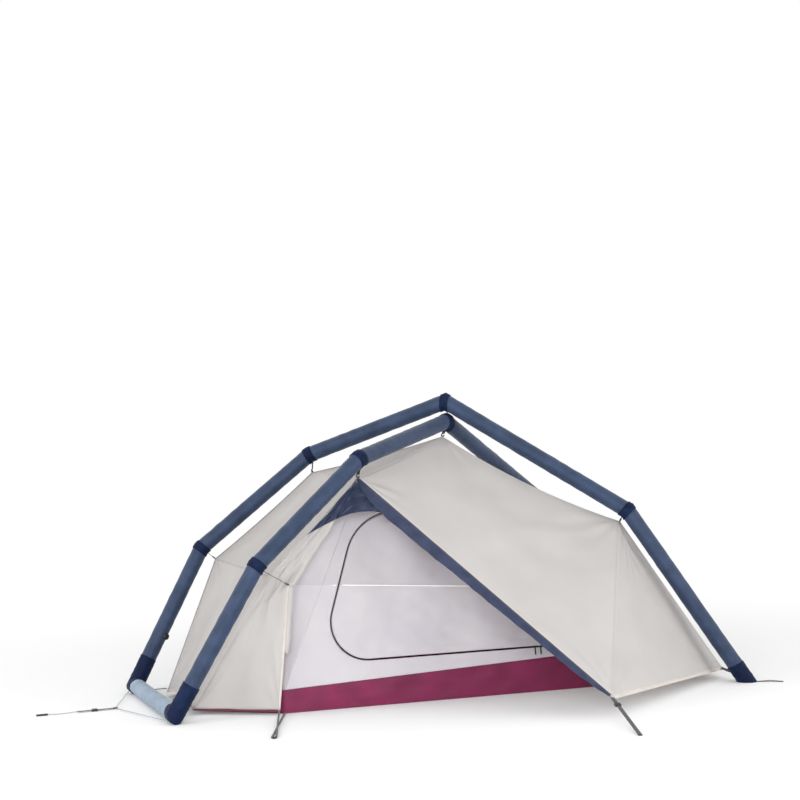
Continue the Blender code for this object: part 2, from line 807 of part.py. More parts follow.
def front_main_patch(fly):
    """The large front panel: from the opening's edge (u = 0) to the crown ridge, from the ridge down to the porch."""
    left = edge(fly["front_shoulder"], fly["porch"])
    right = edge(fly["crown"], fly["front_bend"], sag=crown_ridge_sag)
    low = edge(fly["front_shoulder"], fly["crown"], sag=ridge_sag)
    high = edge(fly["porch"], fly["front_bend"], sag=ridge_sag)
    return Patch(left, right, low, high, draw=panel_draw, folds=2.0)


def front_foot_patch(fly):
    """The front panel of the foot end: from the frame's ridge (u = 0) to the edge of the opening."""
    left = edge(fly["front_shoulder"], fly["front_knee"], fly["front_foot"], sag=[ridge_sag, 0.0])
    right = edge(fly["front_shoulder"], fly["front_gusset"], fly["front_edge_knee"], fly["front_hem_foot"],
                 steps=opening_steps)
    high = edge(fly["front_foot"], fly["front_hem_foot"])
    return Patch(left, right, high=high, folds=3.0)


def build_fly(fly):
    """The sewn panels of the fly sheet."""
    sides = {}
    for side in ("front", "rear"):
        sides[side] = {
            "thigh": edge(fly[side + "_knee"], fly[side + "_shoulder"], fly["crown"], sag=[ridge_sag] * 2),
            "shin": edge(fly[side + "_knee"], fly[side + "_foot"]),
            "head": edge(fly["crown"], fly[side + "_bend"], fly[side + "_head"], sag=[crown_ridge_sag, 0.0]),
        }
    foot_hem = edge(fly["rear_foot"], fly["front_foot"], sag=-hem_rise)
    panel("fly_foot_end", Patch(sides["rear"]["shin"], sides["front"]["shin"], high=foot_hem, folds=2.0), FLY)
    panel("fly_foot_roof", Patch(sides["rear"]["thigh"], sides["front"]["thigh"], folds=1.0), FLY,
          down=2 * rows_span)
    head_hem = edge(fly["rear_head"], fly["front_head"], sag=-hem_rise)
    panel("fly_head_end", Patch(sides["rear"]["head"], sides["front"]["head"], high=head_hem, folds=1.0,
                                draw=panel_draw), FLY, down=2 * rows_span)
    panel("fly_front_main", front_main_patch(fly), FLY, across=rows_span)
    panel("fly_front_corner", Patch(edge(fly["front_bend"], fly["porch"], sag=ridge_sag),
                                    edge(fly["front_bend"], fly["front_head"]), folds=1.0), FLY)
    panel("fly_front_foot", front_foot_patch(fly), FLY, down=2 * rows_span)
    top = edge(fly["rear_foot"], fly["rear_knee"], fly["rear_shoulder"], fly["crown"], fly["rear_bend"],
               sag=[0.0, ridge_sag, ridge_sag, crown_ridge_sag])
    hem = edge(fly["rear_foot"], fly["rear_hem_foot"], fly["rear_hem_head"])
    rise = edge(fly["rear_bend"], fly["rear_hem_head"])
    panel("fly_rear_side", Patch(top, hem, high=rise, draw=panel_draw, folds=2.0), FLY, across=rows_span,
          down=4 * rows_span)
    panel("fly_rear_corner", Patch(edge(fly["rear_bend"], fly["rear_head"]),
                                   edge(fly["rear_bend"], fly["rear_hem_head"]), folds=1.0), FLY)


def build_opening(fly):
    """The storm flap with its zip, the peak gusset and the door rolled up along the opening's edge."""
    patch = front_main_patch(fly)
    panel("storm_flap", patch, NAVY, across=3, down=20, thickness=flap_thickness,
          u_span=(flap_edge_inset, flap_width), v_span=(0.02, 0.985),
          lift=cloth_thickness + flap_standoff, roughness=0.6)
    top, porch = fly["front_shoulder"], fly["porch"]
    line = (porch - top).normalized()
    inward = (fly["front_bend"] - porch) - line * (fly["front_bend"] - porch).dot(line)
    upper_inward = (fly["crown"] - top) - line * (fly["crown"] - top).dot(line)
    side = (inward.normalized() + upper_inward.normalized()).normalized()
    offset = side * -(zip_bead / 2 + zip_gap)
    length = (porch - top).length
    place = Matrix.Translation(top + offset) @ turned(line, side)
    publish("fly_zip", cylinder_mesh("fly_zip", zip_bead / 2, flap_width, length - hook_radius, place, 12),
            BLACK, 0.5, smooth=True)
    inner, outer = zip_bead / 2 + slider_clearance, zip_bead / 2 + slider_clearance + fly_slider_wall
    arc = np.radians(np.linspace(fly_slider_slot_deg, 360.0 - fly_slider_slot_deg, 13))
    ring = [(outer * math.cos(t), outer * math.sin(t)) for t in arc]
    ring += [(inner * math.cos(t), inner * math.sin(t)) for t in arc[::-1]]
    slider_place = place @ Matrix.Translation((0.0, 0.0, length * fly_slider_share))
    publish("fly_zip_slider", flat_curve("fly_zip_slider", [ring], fly_slider_length), BLACK, 0.4,
            place=slider_place)
    build_gusset(fly)
    build_rolled_door(fly)


def build_gusset(fly):
    """The reinforcing gusset under the peak of the opening, with a hollow lower edge."""
    peak = fly["front_shoulder"]
    patch = front_main_patch(fly)
    right = along(patch.left, np.linspace(0.0, gusset_reach_share, 17))
    left = edge(peak, fly["front_gusset"])
    hollow = edge(left[-1], right[-1], sag=-gusset_sag)
    cloth = Patch(left, right, high=hollow)
    panel("peak_gusset", cloth, NAVY, across=8, down=8, gap=gusset_seam, far_gap=zip_bead * 4,
          v_span=(gusset_top_share, 1.0), roughness=0.6)


def build_rolled_door(fly):
    """The fly's door, rolled up and tied along the inner side of the opening's left edge."""
    patch = front_foot_patch(fly)
    shares = np.linspace(roll_top_share, roll_low_share, 22)
    spine = patch.at(np.full(len(shares), 1.0), shares)
    width = np.linalg.norm(along(patch.left, shares) - along(patch.right, shares), axis=1)
    inner = patch.at(1.0 - roll_radius / width, shares, -(roll_radius + roll_seat))
    swell = 1.0 + roll_fold_share * np.sin(np.linspace(0.0, 6 * math.pi, len(shares)))
    ends = np.minimum(1.0, 0.45 + 3.0 * np.minimum(np.linspace(0, 1, len(shares)), np.linspace(1, 0, len(shares))))
    data = curve_data("rolled_door", [inner], roll_radius / (1.0 + roll_fold_share), 2)
    for point, radius in zip(data.splines[0].points, swell * ends):
        point.radius = radius
    publish("rolled_door", data, FLY, 0.8)
    return spine


def rounded(corners, radii, closed=True):
    """An outline whose corners are rounded by arcs, given as 2D vectors in order."""
    count = len(corners)
    points = []
    for index in range(count):
        corner, radius = corners[index], radii[index]
        if not closed and index in (0, count - 1):
            points.append(corner)
            continue
        before = (corners[index - 1] - corner).normalized()
        after = (corners[(index + 1) % count] - corner).normalized()
        half = math.acos(max(-1.0, min(1.0, before.dot(after)))) / 2
        centre = corner + (before + after).normalized() * (radius / math.sin(half))
        first = corner + before * (radius / math.tan(half)) - centre
        last = corner + after * (radius / math.tan(half)) - centre
        turn = math.atan2(first.x * last.y - first.y * last.x, first.dot(last))
        for step in range(arc_steps + 1):
            angle = turn * step / arc_steps
            spun = Vector((first.x * math.cos(angle) - first.y * math.sin(angle),
                           first.x * math.sin(angle) + first.y * math.cos(angle)))
            points.append(centre + spun)
    return points


def grown(corners, gaps):
    """Corners of an outline whose sides are moved outwards, side i running from corner i to the next."""
    count = len(corners)
    middle = sum(corners, Vector((0.0, 0.0))) / count
    lines = []
    for index in range(count):
        first, last = corners[index], corners[(index + 1) % count]
        run = (last - first).normalized()
        out = Vector((run.y, -run.x))
        if out.dot(first - middle) < 0:
            out = -out
        lines.append((first + out * gaps[index], run))
    found = []
    for index in range(count):
        (one, run_one), (two, run_two) = lines[index - 1], lines[index]
        cross = run_one.x * run_two.y - run_one.y * run_two.x
        gap = two - one
        found.append(one + run_one * ((gap.x * run_two.y - gap.y * run_two.x) / cross))
    return found


def door_frame():
    """The front wall's plane as a matrix, and the door's corners in it, from the low hinge corner round."""
    corner, run, rise, normal = front_wall_plane()
    place = Matrix((run, rise, normal)).transposed().to_4x4()
    place.translation = corner
    spots = ((door_right_low_x, door_low_z), (door_left_low_x, door_low_z),
             (door_left_high_x, door_left_high_z), (door_right_high_x, door_right_high_z))
    corners = [in_plane(on_front_wall(x, z)) for x, z in spots]
    return place, corners


def in_plane(point):
    """A place on the front wall as its shares along the wall's run and rise."""
    corner, run, rise, _ = front_wall_plane()
    return Vector(((point - corner).dot(run), (point - corner).dot(rise)))


def clip_helper(name, corner, target):
    """A narrow webbing clip sewn through the inner tent's roof beside a corner, up to a corner of the fly."""
    foot = corner - Vector((0.0, clip_width, 0.0))
    run = target - foot
    direction = run.normalized()
    low, high = -clip_width, run.length - clip_seat
    place = Matrix.Translation(foot + direction * (low + high) / 2) @ turned(direction, Vector((1.0, 0.0, 0.0)))
    return helper(name, box_mesh(name, (clip_width, clip_thickness, high - low), place))


def build_inner(inner, fly):
    """The inner tent: front wall with its door, roof and rear wall, foot and head ends."""
    place, corners = door_frame()
    radii = [door_hinge_radius, door_low_radius, door_high_radius, door_hinge_radius]
    hole = grown(corners, [door_gap, door_gap, door_gap, hinge_gap])
    hole_radii = [radius + door_gap for radius in radii]
    seat = Vector((0.0, wall_seat))
    wall = [in_plane(inner["front_tub_corner"]) + seat, in_plane(inner["front_tub_waist"]) + seat,
            in_plane(inner["front_bend"]), in_plane(inner["front_shoulder"])]
    publish("inner_front", flat_curve("inner_front", [wall, rounded(hole, hole_radii)], wall_thickness),
            INNER, place=place)
    publish("inner_door", flat_curve("inner_door", [rounded(corners, radii)], wall_thickness), INNER,
            place=place)
    build_door_zip(place, corners)
    seat = Vector((0.0, 0.0, wall_seat))
    side = Vector((0.0, cloth_seam + wall_thickness, 0.0))
    back = Vector((0.0, -cloth_seam - wall_thickness, 0.0))
    front_top = edge(inner["front_shoulder"] + side, inner["front_bend"] + side, steps=2 * rows_span)
    ridge = (inner["rear_shoulder"] + back, inner["crown"] + back, inner["rear_bend"] + back)
    roof = Patch(edge(ridge[0], front_top[0]), edge(ridge[2], front_top[-1]), edge(*ridge), front_top)
    cloth = panel("inner_roof", roof, INNER, across=2 * rows_span, thickness=wall_thickness)
    combine(cloth, clip_helper("crown_clip", ridge[1], fly["crown"]), "UNION")
    rear_low = edge(inner["rear_tub_corner"] + seat, inner["rear_tub_waist"] + seat, steps=2 * rows_span)
    rear_top = edge(inner["rear_shoulder"], inner["crown"], inner["rear_bend"])
    rear = Patch(edge(rear_top[0], rear_low[0]), edge(rear_top[-1], rear_low[-1]), rear_top, rear_low)
    panel("inner_rear", rear, INNER, across=2 * rows_span, thickness=wall_thickness)
    loft_end("inner_foot", inner, "shoulder", "tub_corner", "knee", "tub_foot", inner_foot_rise, seat)
    loft_end("inner_head", inner, "bend", "tub_waist", None, "tub_head", inner_head_rise, seat)


def loft_end(name, inner, top, low, knee, foot, rise, seat):
    """An end of the inner tent: a cloth from the ring of the walls' ends down to the tub's far edge."""
    draw = Vector((math.copysign(cloth_seam + wall_thickness, inner["front_" + foot].x), 0.0, 0.0))
    front_low, rear_low = inner["front_" + low] + seat + draw, inner["rear_" + low] + seat + draw
    front_top, rear_top = inner["front_" + top] + draw, inner["rear_" + top] + draw
    front_foot, rear_foot = inner["front_" + foot] + seat, inner["rear_" + foot] + seat
    lift = Vector((0.0, 0.0, rise))
    near = edge(front_low, front_top, rear_top, rear_low)
    far = edge(front_foot, front_foot + lift, rear_foot + lift, rear_foot)
    rows = [near]
    if knee:
        front_mid, rear_mid = (front_low + front_foot) / 2, (rear_low + rear_foot) / 2
        rows.append(edge(front_mid, inner["front_" + knee], inner["rear_" + knee], rear_mid))
    rows.append(far)
    panel(name, LoftPatch(rows), INNER, across=6, down=18, thickness=wall_thickness)


class LoftPatch(Patch):
    """A cloth carried through a row of sections: v runs along each section, u from the first to the last."""

    def __init__(self, rows):
        self.rows = rows
        self.left, self.right = rows[0], rows[-1]
        self.draw, self.folds, self.depth = 0.0, 0.0, 0.0
        self.turn = self.outward_turn()

    def plain(self, u, v):
        """The place between the two sections on either side of u."""
        spans = len(self.rows) - 1
        found = np.zeros((len(u), 3))
        for index, row in enumerate(self.rows):
            weight = np.clip(1 - np.abs(u * spans - index), 0, None)
            found += weight[:, None] * along(row, v)
        return found


def build_door_zip(place, corners):
    """The coil zip round three sides of the door, and its two sliders on the low straight run."""
    middle = door_gap / 2
    path = grown(corners, [middle, middle, middle, middle])
    ends = []
    for index, neighbour, other in ((0, 1, 3), (3, 2, 0)):
        inward = (path[neighbour] - path[index]).normalized()
        half = inward.angle(path[other] - path[index]) / 2
        ends.append(path[index] + inward * ((door_hinge_radius + door_gap) / math.tan(half) + door_gap))
    path[0], path[3] = ends
    radii = [0.0, door_low_radius + middle, door_high_radius + middle, 0.0]
    outline = [(point.x, point.y, 0.0) for point in rounded(path, radii, closed=False)]
    publish("door_zip", curve_data("door_zip", [outline], zip_width / 2, 1), BLACK, 0.5, place=place)
    along_run = (path[1] - path[0]).normalized()
    for name, x in (("zip_slider_left", slider_left_x), ("zip_slider_right", slider_left_x + slider_spacing)):
        spot = in_plane(on_front_wall(x, door_low_z))
        spot = path[0] + along_run * (spot - path[0]).dot(along_run)
        turn = Matrix((Vector((-along_run.x, -along_run.y, 0.0)),
                       Vector((along_run.y, -along_run.x, 0.0)), UP)).transposed().to_4x4()
        if turn[1][1] < 0:
            turn = turn @ Matrix.Rotation(math.pi, 4, "Z")
        spot_place = place @ Matrix.Translation((spot.x, spot.y, 0.0)) @ turn
        outer = zip_width + 2 * (slider_clearance + slider_wall)
        inner = zip_width + 2 * slider_clearance
        slider = publish(name, box_mesh(name, (slider_length, outer - 2 * slider_wall + slider_wall, outer),
                                        spot_place), BLACK, 0.4, 0.6)
        bore = box_mesh(name + "_bore", (slider_length + overrun, inner, inner), spot_place)
        combine(slider, helper(name + "_bore", bore), "DIFFERENCE")
        tab = box_mesh(name + "_tab", (puller_width, puller_length, puller_thickness),
                       spot_place @ Matrix.Translation((0.0, -puller_length / 2 + outer / 4,
                                                        outer / 2 + puller_thickness / 2 - bite)))
        combine(slider, helper(name + "_tab", tab), "UNION")


def build_tub(inner):
    """The tub floor: a waterproof bottom with its sides turned up all round, open at the top."""
    names = ("front_tub_foot", "front_tub_corner", "front_tub_waist", "front_tub_head",
             "rear_tub_head", "rear_tub_waist", "rear_tub_corner", "rear_tub_foot")
    bm = bmesh.new()
    low = [bm.verts.new((inner[name].x, inner[name].y, 0.0)) for name in names]
    bm.faces.new(low)
    grown_edges = bmesh.ops.extrude_edge_only(bm, edges=list(bm.edges))
    tops = [item for item in grown_edges["geom"] if isinstance(item, bmesh.types.BMVert)]
    for vert in tops:
        nearest = min(names, key=lambda name: (inner[name].xy - vert.co.xy).length)
        vert.co.z = inner[nearest].z
    bmesh.ops.recalc_face_normals(bm, faces=bm.faces)
    bm.faces.ensure_lookup_table()
    if bm.faces[0].normal.z > 0:
        bmesh.ops.reverse_faces(bm, faces=bm.faces)
    mesh = bpy.data.meshes.new("tub_floor")
    bm.to_mesh(mesh)
    bm.free()
    solidify(publish("tub_floor", mesh, FLOOR, 0.6), tub_thickness, -1.0)


def strap_box(name, start, end, colour=BLACK):
    """A webbing strap laid straight between two places."""
    run = end - start
    place = Matrix.Translation((start + end) / 2) @ turned(run, UP.cross(run))
    return box_mesh(name, (webbing_width, webbing_thickness, run.length), place)


def buckle(name, middle, run):
    """A buckle that a strap runs through: a box with a slot along the strap."""
    place = Matrix.Translation(middle) @ turned(run, UP.cross(run))
    slot = (webbing_width + 2 * buckle_clearance, webbing_thickness + 2 * buckle_clearance)
    size = (slot[0] + 2 * buckle_wall, slot[1] + 2 * buckle_wall, buckle_length)
    obj = publish(name, box_mesh(name, size, place), BLACK, 0.5)
    cut = box_mesh(name + "_slot", (*slot, buckle_length + overrun), place)
    combine(obj, helper(name + "_slot", cut), "DIFFERENCE")


def build_guys(places, fly):
    """The front strap, the foot end's bridle with its strap and toggle, and the peg loop."""
    porch = fly["porch"]
    peg = Vector((front_peg_x, -front_peg_y, webbing_thickness))
    run = (peg - porch).normalized()
    start = porch + run * strap_gap
    publish("front_strap", strap_box("front_strap", start, peg), BLACK, 0.8)
    buckle("front_buckle", start + (peg - start) * front_buckle_share, run)
    build_left_guy(places)
    publish_peg_loop(fly)


def publish_peg_loop(fly):
    """The cord loop that pegs the foot end's front corner: from the fly's hem out to the peg and back to the tub."""
    level = peg_loop_diameter / 2 + ground_gap
    peg = Vector((-peg_loop_x, -peg_loop_y, level))
    hem = fly["front_hem_foot"]
    corner = Vector((-tub_corner_x, -tub_corner_y, level))
    from_hem = (peg - hem).normalized()
    from_tub = (peg - corner).normalized()
    across = Vector((from_tub.y, -from_tub.x, 0.0)) * peg_loop_diameter
    loop = [hem + from_hem * (cloth_thickness + peg_loop_diameter / 4), peg - from_hem * peg_loop_diameter - across,
            peg, peg - from_tub * peg_loop_diameter + across, corner + from_tub * ground_gap]
    publish("peg_loop", curve_data("peg_loop", [loop], peg_loop_diameter / 2, 2), BLACK, 0.8)


def build_left_guy(places):
    """The bridle of two cords from the foot corners, its ring and strap, the tail cord and the toggle."""
    level = ring_wire / 2 + ground_gap
    ring = Vector((-ring_x, ring_y, level))
    strap_start = ring + Vector((-ring_radius, 0.0, webbing_thickness / 2 - ring_wire / 2 + buckle_wall + buckle_clearance))
    strap_level = strap_start.z
    strap_end = Vector((-strap_end_x, ring_y, strap_level))
    strap = publish("left_strap", strap_box("left_strap", strap_start, strap_end), BLACK, 0.8)
    circle = np.radians(np.linspace(0.0, 360.0, 16, endpoint=False))
    path = [(ring_radius * math.cos(t), ring_radius * math.sin(t), 0.0) for t in circle]
    loop = as_mesh("ring", curve_data("ring", [path], ring_wire / 2, 1, closed=True),
                   Matrix.Translation((ring.x, ring.y, strap_level)))
    combine(strap, helper("ring", loop), "UNION")
    buckle("left_buckle", Vector((-left_buckle_x, ring_y, strap_level)), strap_end - strap_start)
    radius = cord_diameter / 2
    reach = tube_diameter / 2 + collar_fit + cuff_wall
    drop = reach - bridle_height
    out = math.sqrt(reach * reach - drop * drop)
    for side, sign in (("rear", 1.0), ("front", -1.0)):
        foot = places[side + "_foot"]
        start = Vector((foot.x - out - cord_diameter / 2, foot.y, bridle_height))
        end_direction = (start - ring).normalized()
        end = ring + end_direction * (ring_radius + ring_wire / 2 + strap_gap)
        end.z = strap_level
        share = np.linspace(0.0, 1.0, 9)[:, None]
        points = np.array(start) * (1 - share) + np.array(end) * share
        publish(f"bridle_{side}", curve_data(f"bridle_{side}", [points], radius, 2), GREY, 0.8)
    tail = [Vector((-strap_end_x - strap_gap, ring_y, strap_level)),
            Vector((-(strap_end_x + toggle_x - toggle_length / 2) / 2, ring_y, radius + ground_gap)),
            Vector((-toggle_x + toggle_length / 2 + strap_gap, ring_y, toggle_diameter / 2 + ground_gap))]
    publish("left_tail", curve_data("left_tail", [tail], radius, 2), GREY, 0.8)
    lay = Matrix.Translation((-toggle_x, ring_y, toggle_diameter / 2 + ground_gap)) @ turned(
        Vector((1.0, 0.0, 0.0)), UP)
    publish("left_toggle", cylinder_mesh("left_toggle", toggle_diameter / 2, -toggle_length / 2,
                                         toggle_length / 2, lay, 12), BLACK, 0.4, smooth=True)


def main():
    """Builds the tent."""
    clear_scene()
    places, fly = frame_places(), fly_places()
    inner = inner_places()
    build_sleeves(places)
    build_collars(places, fly)
    build_cuffs(places, fly)
    build_valve(places)
    build_fly(fly)
    build_opening(fly)
    build_inner(inner, fly)
    build_tub(inner)
    build_guys(places, fly)


main()
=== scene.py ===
"""The looks of an inflatable tent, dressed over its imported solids.

Units are metres, in the same frame as the solids: +Z up, +X to the head end, -Y to the entrance.
Each class holds the sizes of one sub-assembly and builds its cloths, cords and fittings.
"""

import logging
import math
from contextlib import contextmanager
from dataclasses import dataclass
from enum import Enum
from typing import Any, Iterator, Sequence

import bmesh
import bpy
import numpy as np
from mathutils import Matrix, Vector

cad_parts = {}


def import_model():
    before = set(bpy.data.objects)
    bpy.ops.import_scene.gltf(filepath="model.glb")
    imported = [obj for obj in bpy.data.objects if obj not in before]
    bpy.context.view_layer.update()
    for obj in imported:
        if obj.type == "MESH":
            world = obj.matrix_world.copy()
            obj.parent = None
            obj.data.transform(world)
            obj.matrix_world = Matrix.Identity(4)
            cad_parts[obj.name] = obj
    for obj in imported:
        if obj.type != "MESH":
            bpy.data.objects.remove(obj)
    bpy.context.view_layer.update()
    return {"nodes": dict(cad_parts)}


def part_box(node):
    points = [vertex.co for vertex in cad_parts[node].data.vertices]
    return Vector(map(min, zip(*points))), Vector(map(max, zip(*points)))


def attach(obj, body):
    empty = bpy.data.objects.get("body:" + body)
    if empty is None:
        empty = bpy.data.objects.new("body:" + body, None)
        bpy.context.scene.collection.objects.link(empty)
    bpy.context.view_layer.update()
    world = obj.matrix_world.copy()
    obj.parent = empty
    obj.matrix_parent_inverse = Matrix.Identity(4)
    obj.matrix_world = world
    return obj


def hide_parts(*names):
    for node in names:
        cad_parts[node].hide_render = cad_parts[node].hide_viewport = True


log = logging.getLogger("tent")
Array = np.ndarray
ROOT = "root"
UP = np.array((0.0, 0.0, 1.0))
MIDDLE = np.array((0.0, 0.0, 0.45))
WHITE = (1.0, 1.0, 1.0, 1.0)


def linear(code: str) -> tuple[float, float, float, float]:
    """Turns an sRGB hex colour to linear red, green, blue and alpha.

    Args:
        code: the colour as "#rrggbb".

    Returns:
        The four linear values.
    """
    parts = np.array([int(code[at:at + 2], 16) for at in (1, 3, 5)]) / 255
    low, high = parts / 12.92, ((parts + 0.055) / 1.055) ** 2.4
    return (*(float(part) for part in np.where(parts <= 0.04045, low, high)), 1.0)


def add_node(tree: bpy.types.NodeTree, kind: str, settings: dict[str, Any] | None = None,
             values: dict[Any, Any] | None = None, links: dict[Any, Any] | None = None) -> bpy.types.Node:
    """Adds a node with its settings, socket values and links.

    Args:
        tree: the node tree that takes the node.
        kind: the node's type name.
        settings: the node's own properties.
        values: fixed values by input socket.
        links: outputs of other nodes by input socket.

    Returns:
        The new node.
    """
    node = tree.nodes.new(kind)
    for key, value in (settings or {}).items():
        setattr(node, key, value)
    for key, value in (values or {}).items():
        node.inputs[key].default_value = value
    for key, source in (links or {}).items():
        tree.links.new(source, node.inputs[key])
    return node


def new_material(name: str) -> tuple[bpy.types.Material, bpy.types.NodeTree]:
    """An empty node material and its tree."""
    made = bpy.data.materials.new(name)
    made.use_nodes = True
    made.node_tree.nodes.clear()
    return made, made.node_tree


class Reads(Enum):
    """The coordinates that a finish's pattern follows."""

    SURFACE = "UV"
    PLACE = "Object"


def stripes(tree: bpy.types.NodeTree, source: Any, period: float, axis: str) -> Any:
    """Adds even soft bands, one for each thread or tooth.

    Args:
        tree: the node tree.
        source: the coordinate output that the bands are laid on, in metres.
        period: the distance from band to band.
        axis: "X", "Y", "Z" or "DIAGONAL".

    Returns:
        The output that holds the bands, from 0 to 1.
    """
    scale = 2 * math.pi / (20.0 * period)
    wave = add_node(tree, "ShaderNodeTexWave", {"wave_type": "BANDS", "bands_direction": axis},
                    {"Scale": scale, "Distortion": 0.0, "Detail": 0.0}, {"Vector": source})
    return wave.outputs["Fac"]


@dataclass(frozen=True)
class Cloth:
    """A coated woven cloth: thread relief, a ripstop grid, faint patches, and the light it lets through.

    The eye sees a soft, nearly matt face whose creases catch a low gloss from the coating. The threads are
    drawn 1.2 mm apart, because the real ones, about 0.15 mm, are too fine to show.
    """

    name: str
    colour: str
    patch_colour: str
    roughness: float = 0.55
    thread: float = 0.0012
    rip_spacing: float = 0.006
    rip_depth: float = 0.00012
    crease_depth: float = 0.0012
    crease_size: float = 0.035
    patch_size: float = 0.16
    through: float = 0.0
    sheen: float = 0.15
    gloss: float = 0.30
    openness: float = 0.0
    solid_below: float = 0.0
    solid_slope: float = 0.0

    def build(self) -> bpy.types.Material:
        """Makes the material: a Principled face, mixed with the light that comes through the cloth."""
        made, tree = new_material(self.name)
        place = add_node(tree, "ShaderNodeTexCoord")
        laid = place.outputs[Reads.SURFACE.value]
        patches = add_node(tree, "ShaderNodeTexNoise", None,
                           {"Scale": 1 / self.patch_size, "Detail": 3.0, "Roughness": 0.55},
                           {"Vector": place.outputs[Reads.PLACE.value]})
        spread = add_node(tree, "ShaderNodeMapRange", None, {"From Min": 0.32, "From Max": 0.68},
                          {"Value": patches.outputs["Fac"]})
        tint = add_node(tree, "ShaderNodeMix", {"data_type": "RGBA"},
                        {6: linear(self.colour), 7: linear(self.patch_colour)},
                        {"Factor": spread.outputs["Result"]})
        across, down = stripes(tree, laid, self.thread, "X"), stripes(tree, laid, self.thread, "Y")
        weave = add_node(tree, "ShaderNodeMath", {"operation": "MAXIMUM"}, None, {0: across, 1: down})
        rib_a, rib_b = stripes(tree, laid, self.rip_spacing, "X"), stripes(tree, laid, self.rip_spacing, "Y")
        ribs = add_node(tree, "ShaderNodeMath", {"operation": "MAXIMUM"}, None, {0: rib_a, 1: rib_b})
        grid = add_node(tree, "ShaderNodeMath", {"operation": "POWER"}, {1: 24.0}, {0: ribs.outputs[0]})
        creases = add_node(tree, "ShaderNodeTexNoise", None,
                           {"Scale": 1 / self.crease_size, "Detail": 4.0, "Roughness": 0.5,
                            "Distortion": 0.6},
                           {"Vector": place.outputs[Reads.PLACE.value]})
        crumple = add_node(tree, "ShaderNodeBump", None, {"Strength": 0.5, "Distance": self.crease_depth},
                           {"Height": creases.outputs["Fac"]})
        fine = add_node(tree, "ShaderNodeBump", None, {"Strength": 0.6, "Distance": self.rip_depth / 2},
                        {"Height": weave.outputs[0], "Normal": crumple.outputs[0]})
        face = add_node(tree, "ShaderNodeBump", None, {"Strength": 0.8, "Distance": self.rip_depth},
                        {"Height": grid.outputs[0], "Normal": fine.outputs[0]})
        shader = add_node(tree, "ShaderNodeBsdfPrincipled", None,
                          {"Roughness": self.roughness, "Sheen Weight": self.sheen, "Sheen Roughness": 0.5,
                           "Specular IOR Level": self.gloss},
                          {"Base Color": tint.outputs[2], "Normal": face.outputs[0]})
        last = shader.outputs[0]
        if self.through:
            glow = add_node(tree, "ShaderNodeBsdfTranslucent", None, None,
                            {"Color": tint.outputs[2], "Normal": face.outputs[0]})
            last = add_node(tree, "ShaderNodeMixShader", None, {0: self.through},
                            {1: last, 2: glow.outputs[0]}).outputs[0]
        if self.openness:
            last = self.opened(tree, place, last)
        add_node(tree, "ShaderNodeOutputMaterial", None, None, {"Surface": last})
        return made

    def opened(self, tree: bpy.types.NodeTree, place: bpy.types.Node, face: Any) -> Any:
        """Mixes in the holes of a net, only above the height where the solid cloth ends.

        Args:
            tree: the node tree.
            place: the texture coordinate node.
            face: the cloth's own shader output.

        Returns:
            The output of the mix.
        """
        hole = add_node(tree, "ShaderNodeBsdfTransparent", None, {"Color": WHITE})
        parts = add_node(tree, "ShaderNodeSeparateXYZ", None, None, {0: place.outputs[Reads.PLACE.value]})
        slope = add_node(tree, "ShaderNodeMath", {"operation": "MULTIPLY_ADD"}, {1: self.solid_slope},
                         {0: parts.outputs["X"], 2: parts.outputs["Z"]})
        above = add_node(tree, "ShaderNodeMath", {"operation": "GREATER_THAN"}, {1: self.solid_below},
                         {0: slope.outputs[0]})
        share = add_node(tree, "ShaderNodeMath", {"operation": "MULTIPLY"}, {1: self.openness},
                         {0: above.outputs[0]})
        mix = add_node(tree, "ShaderNodeMixShader", None, None,
                       {0: share.outputs[0], 1: face, 2: hole.outputs[0]})
        return mix.outputs[0]


@dataclass(frozen=True)
class Yarn:
    """Webbing, braid or a zip's coil in a dark or pale yarn: close ribs across and slanted, with painted
    shade that darkens the grooves between them.

    The ribs are drawn 1 to 2.6 mm apart, up to twice as coarse as real ones, so that they show.
    """

    name: str
    colour: str
    groove_shade_colour: str
    rib: float
    depth: float
    roughness: float = 0.75
    slanted: bool = False

    def build(self) -> bpy.types.Material:
        """Makes the material, with its ribs laid on the piece's own UV map in metres."""
        made, tree = new_material(self.name)
        place = add_node(tree, "ShaderNodeTexCoord")
        laid = place.outputs[Reads.SURFACE.value]
        first = stripes(tree, laid, self.rib, "DIAGONAL" if self.slanted else "Y")
        turn = add_node(tree, "ShaderNodeMapping", None, {"Scale": (-1.0, 1.0, 1.0)}, {"Vector": laid})
        second = stripes(tree, turn.outputs[0], self.rib, "DIAGONAL" if self.slanted else "X")
        relief = add_node(tree, "ShaderNodeMath", {"operation": "MULTIPLY"}, None, {0: first, 1: second})
        # Painted shade: the colour darkens to the groove colour where the ribs' relief is low, and the rib
        # tops keep the yarn's colour.
        tint = add_node(tree, "ShaderNodeMix", {"data_type": "RGBA"},
                        {6: linear(self.groove_shade_colour), 7: linear(self.colour)}, {"Factor": relief.outputs[0]})
        face = add_node(tree, "ShaderNodeBump", None, {"Strength": 0.8, "Distance": self.depth},
                        {"Height": relief.outputs[0]})
        shader = add_node(tree, "ShaderNodeBsdfPrincipled", None,
                          {"Roughness": self.roughness, "Sheen Weight": 0.2},
                          {"Base Color": tint.outputs[2], "Normal": face.outputs[0]})
        add_node(tree, "ShaderNodeOutputMaterial", None, None, {"Surface": shader.outputs[0]})
        return made


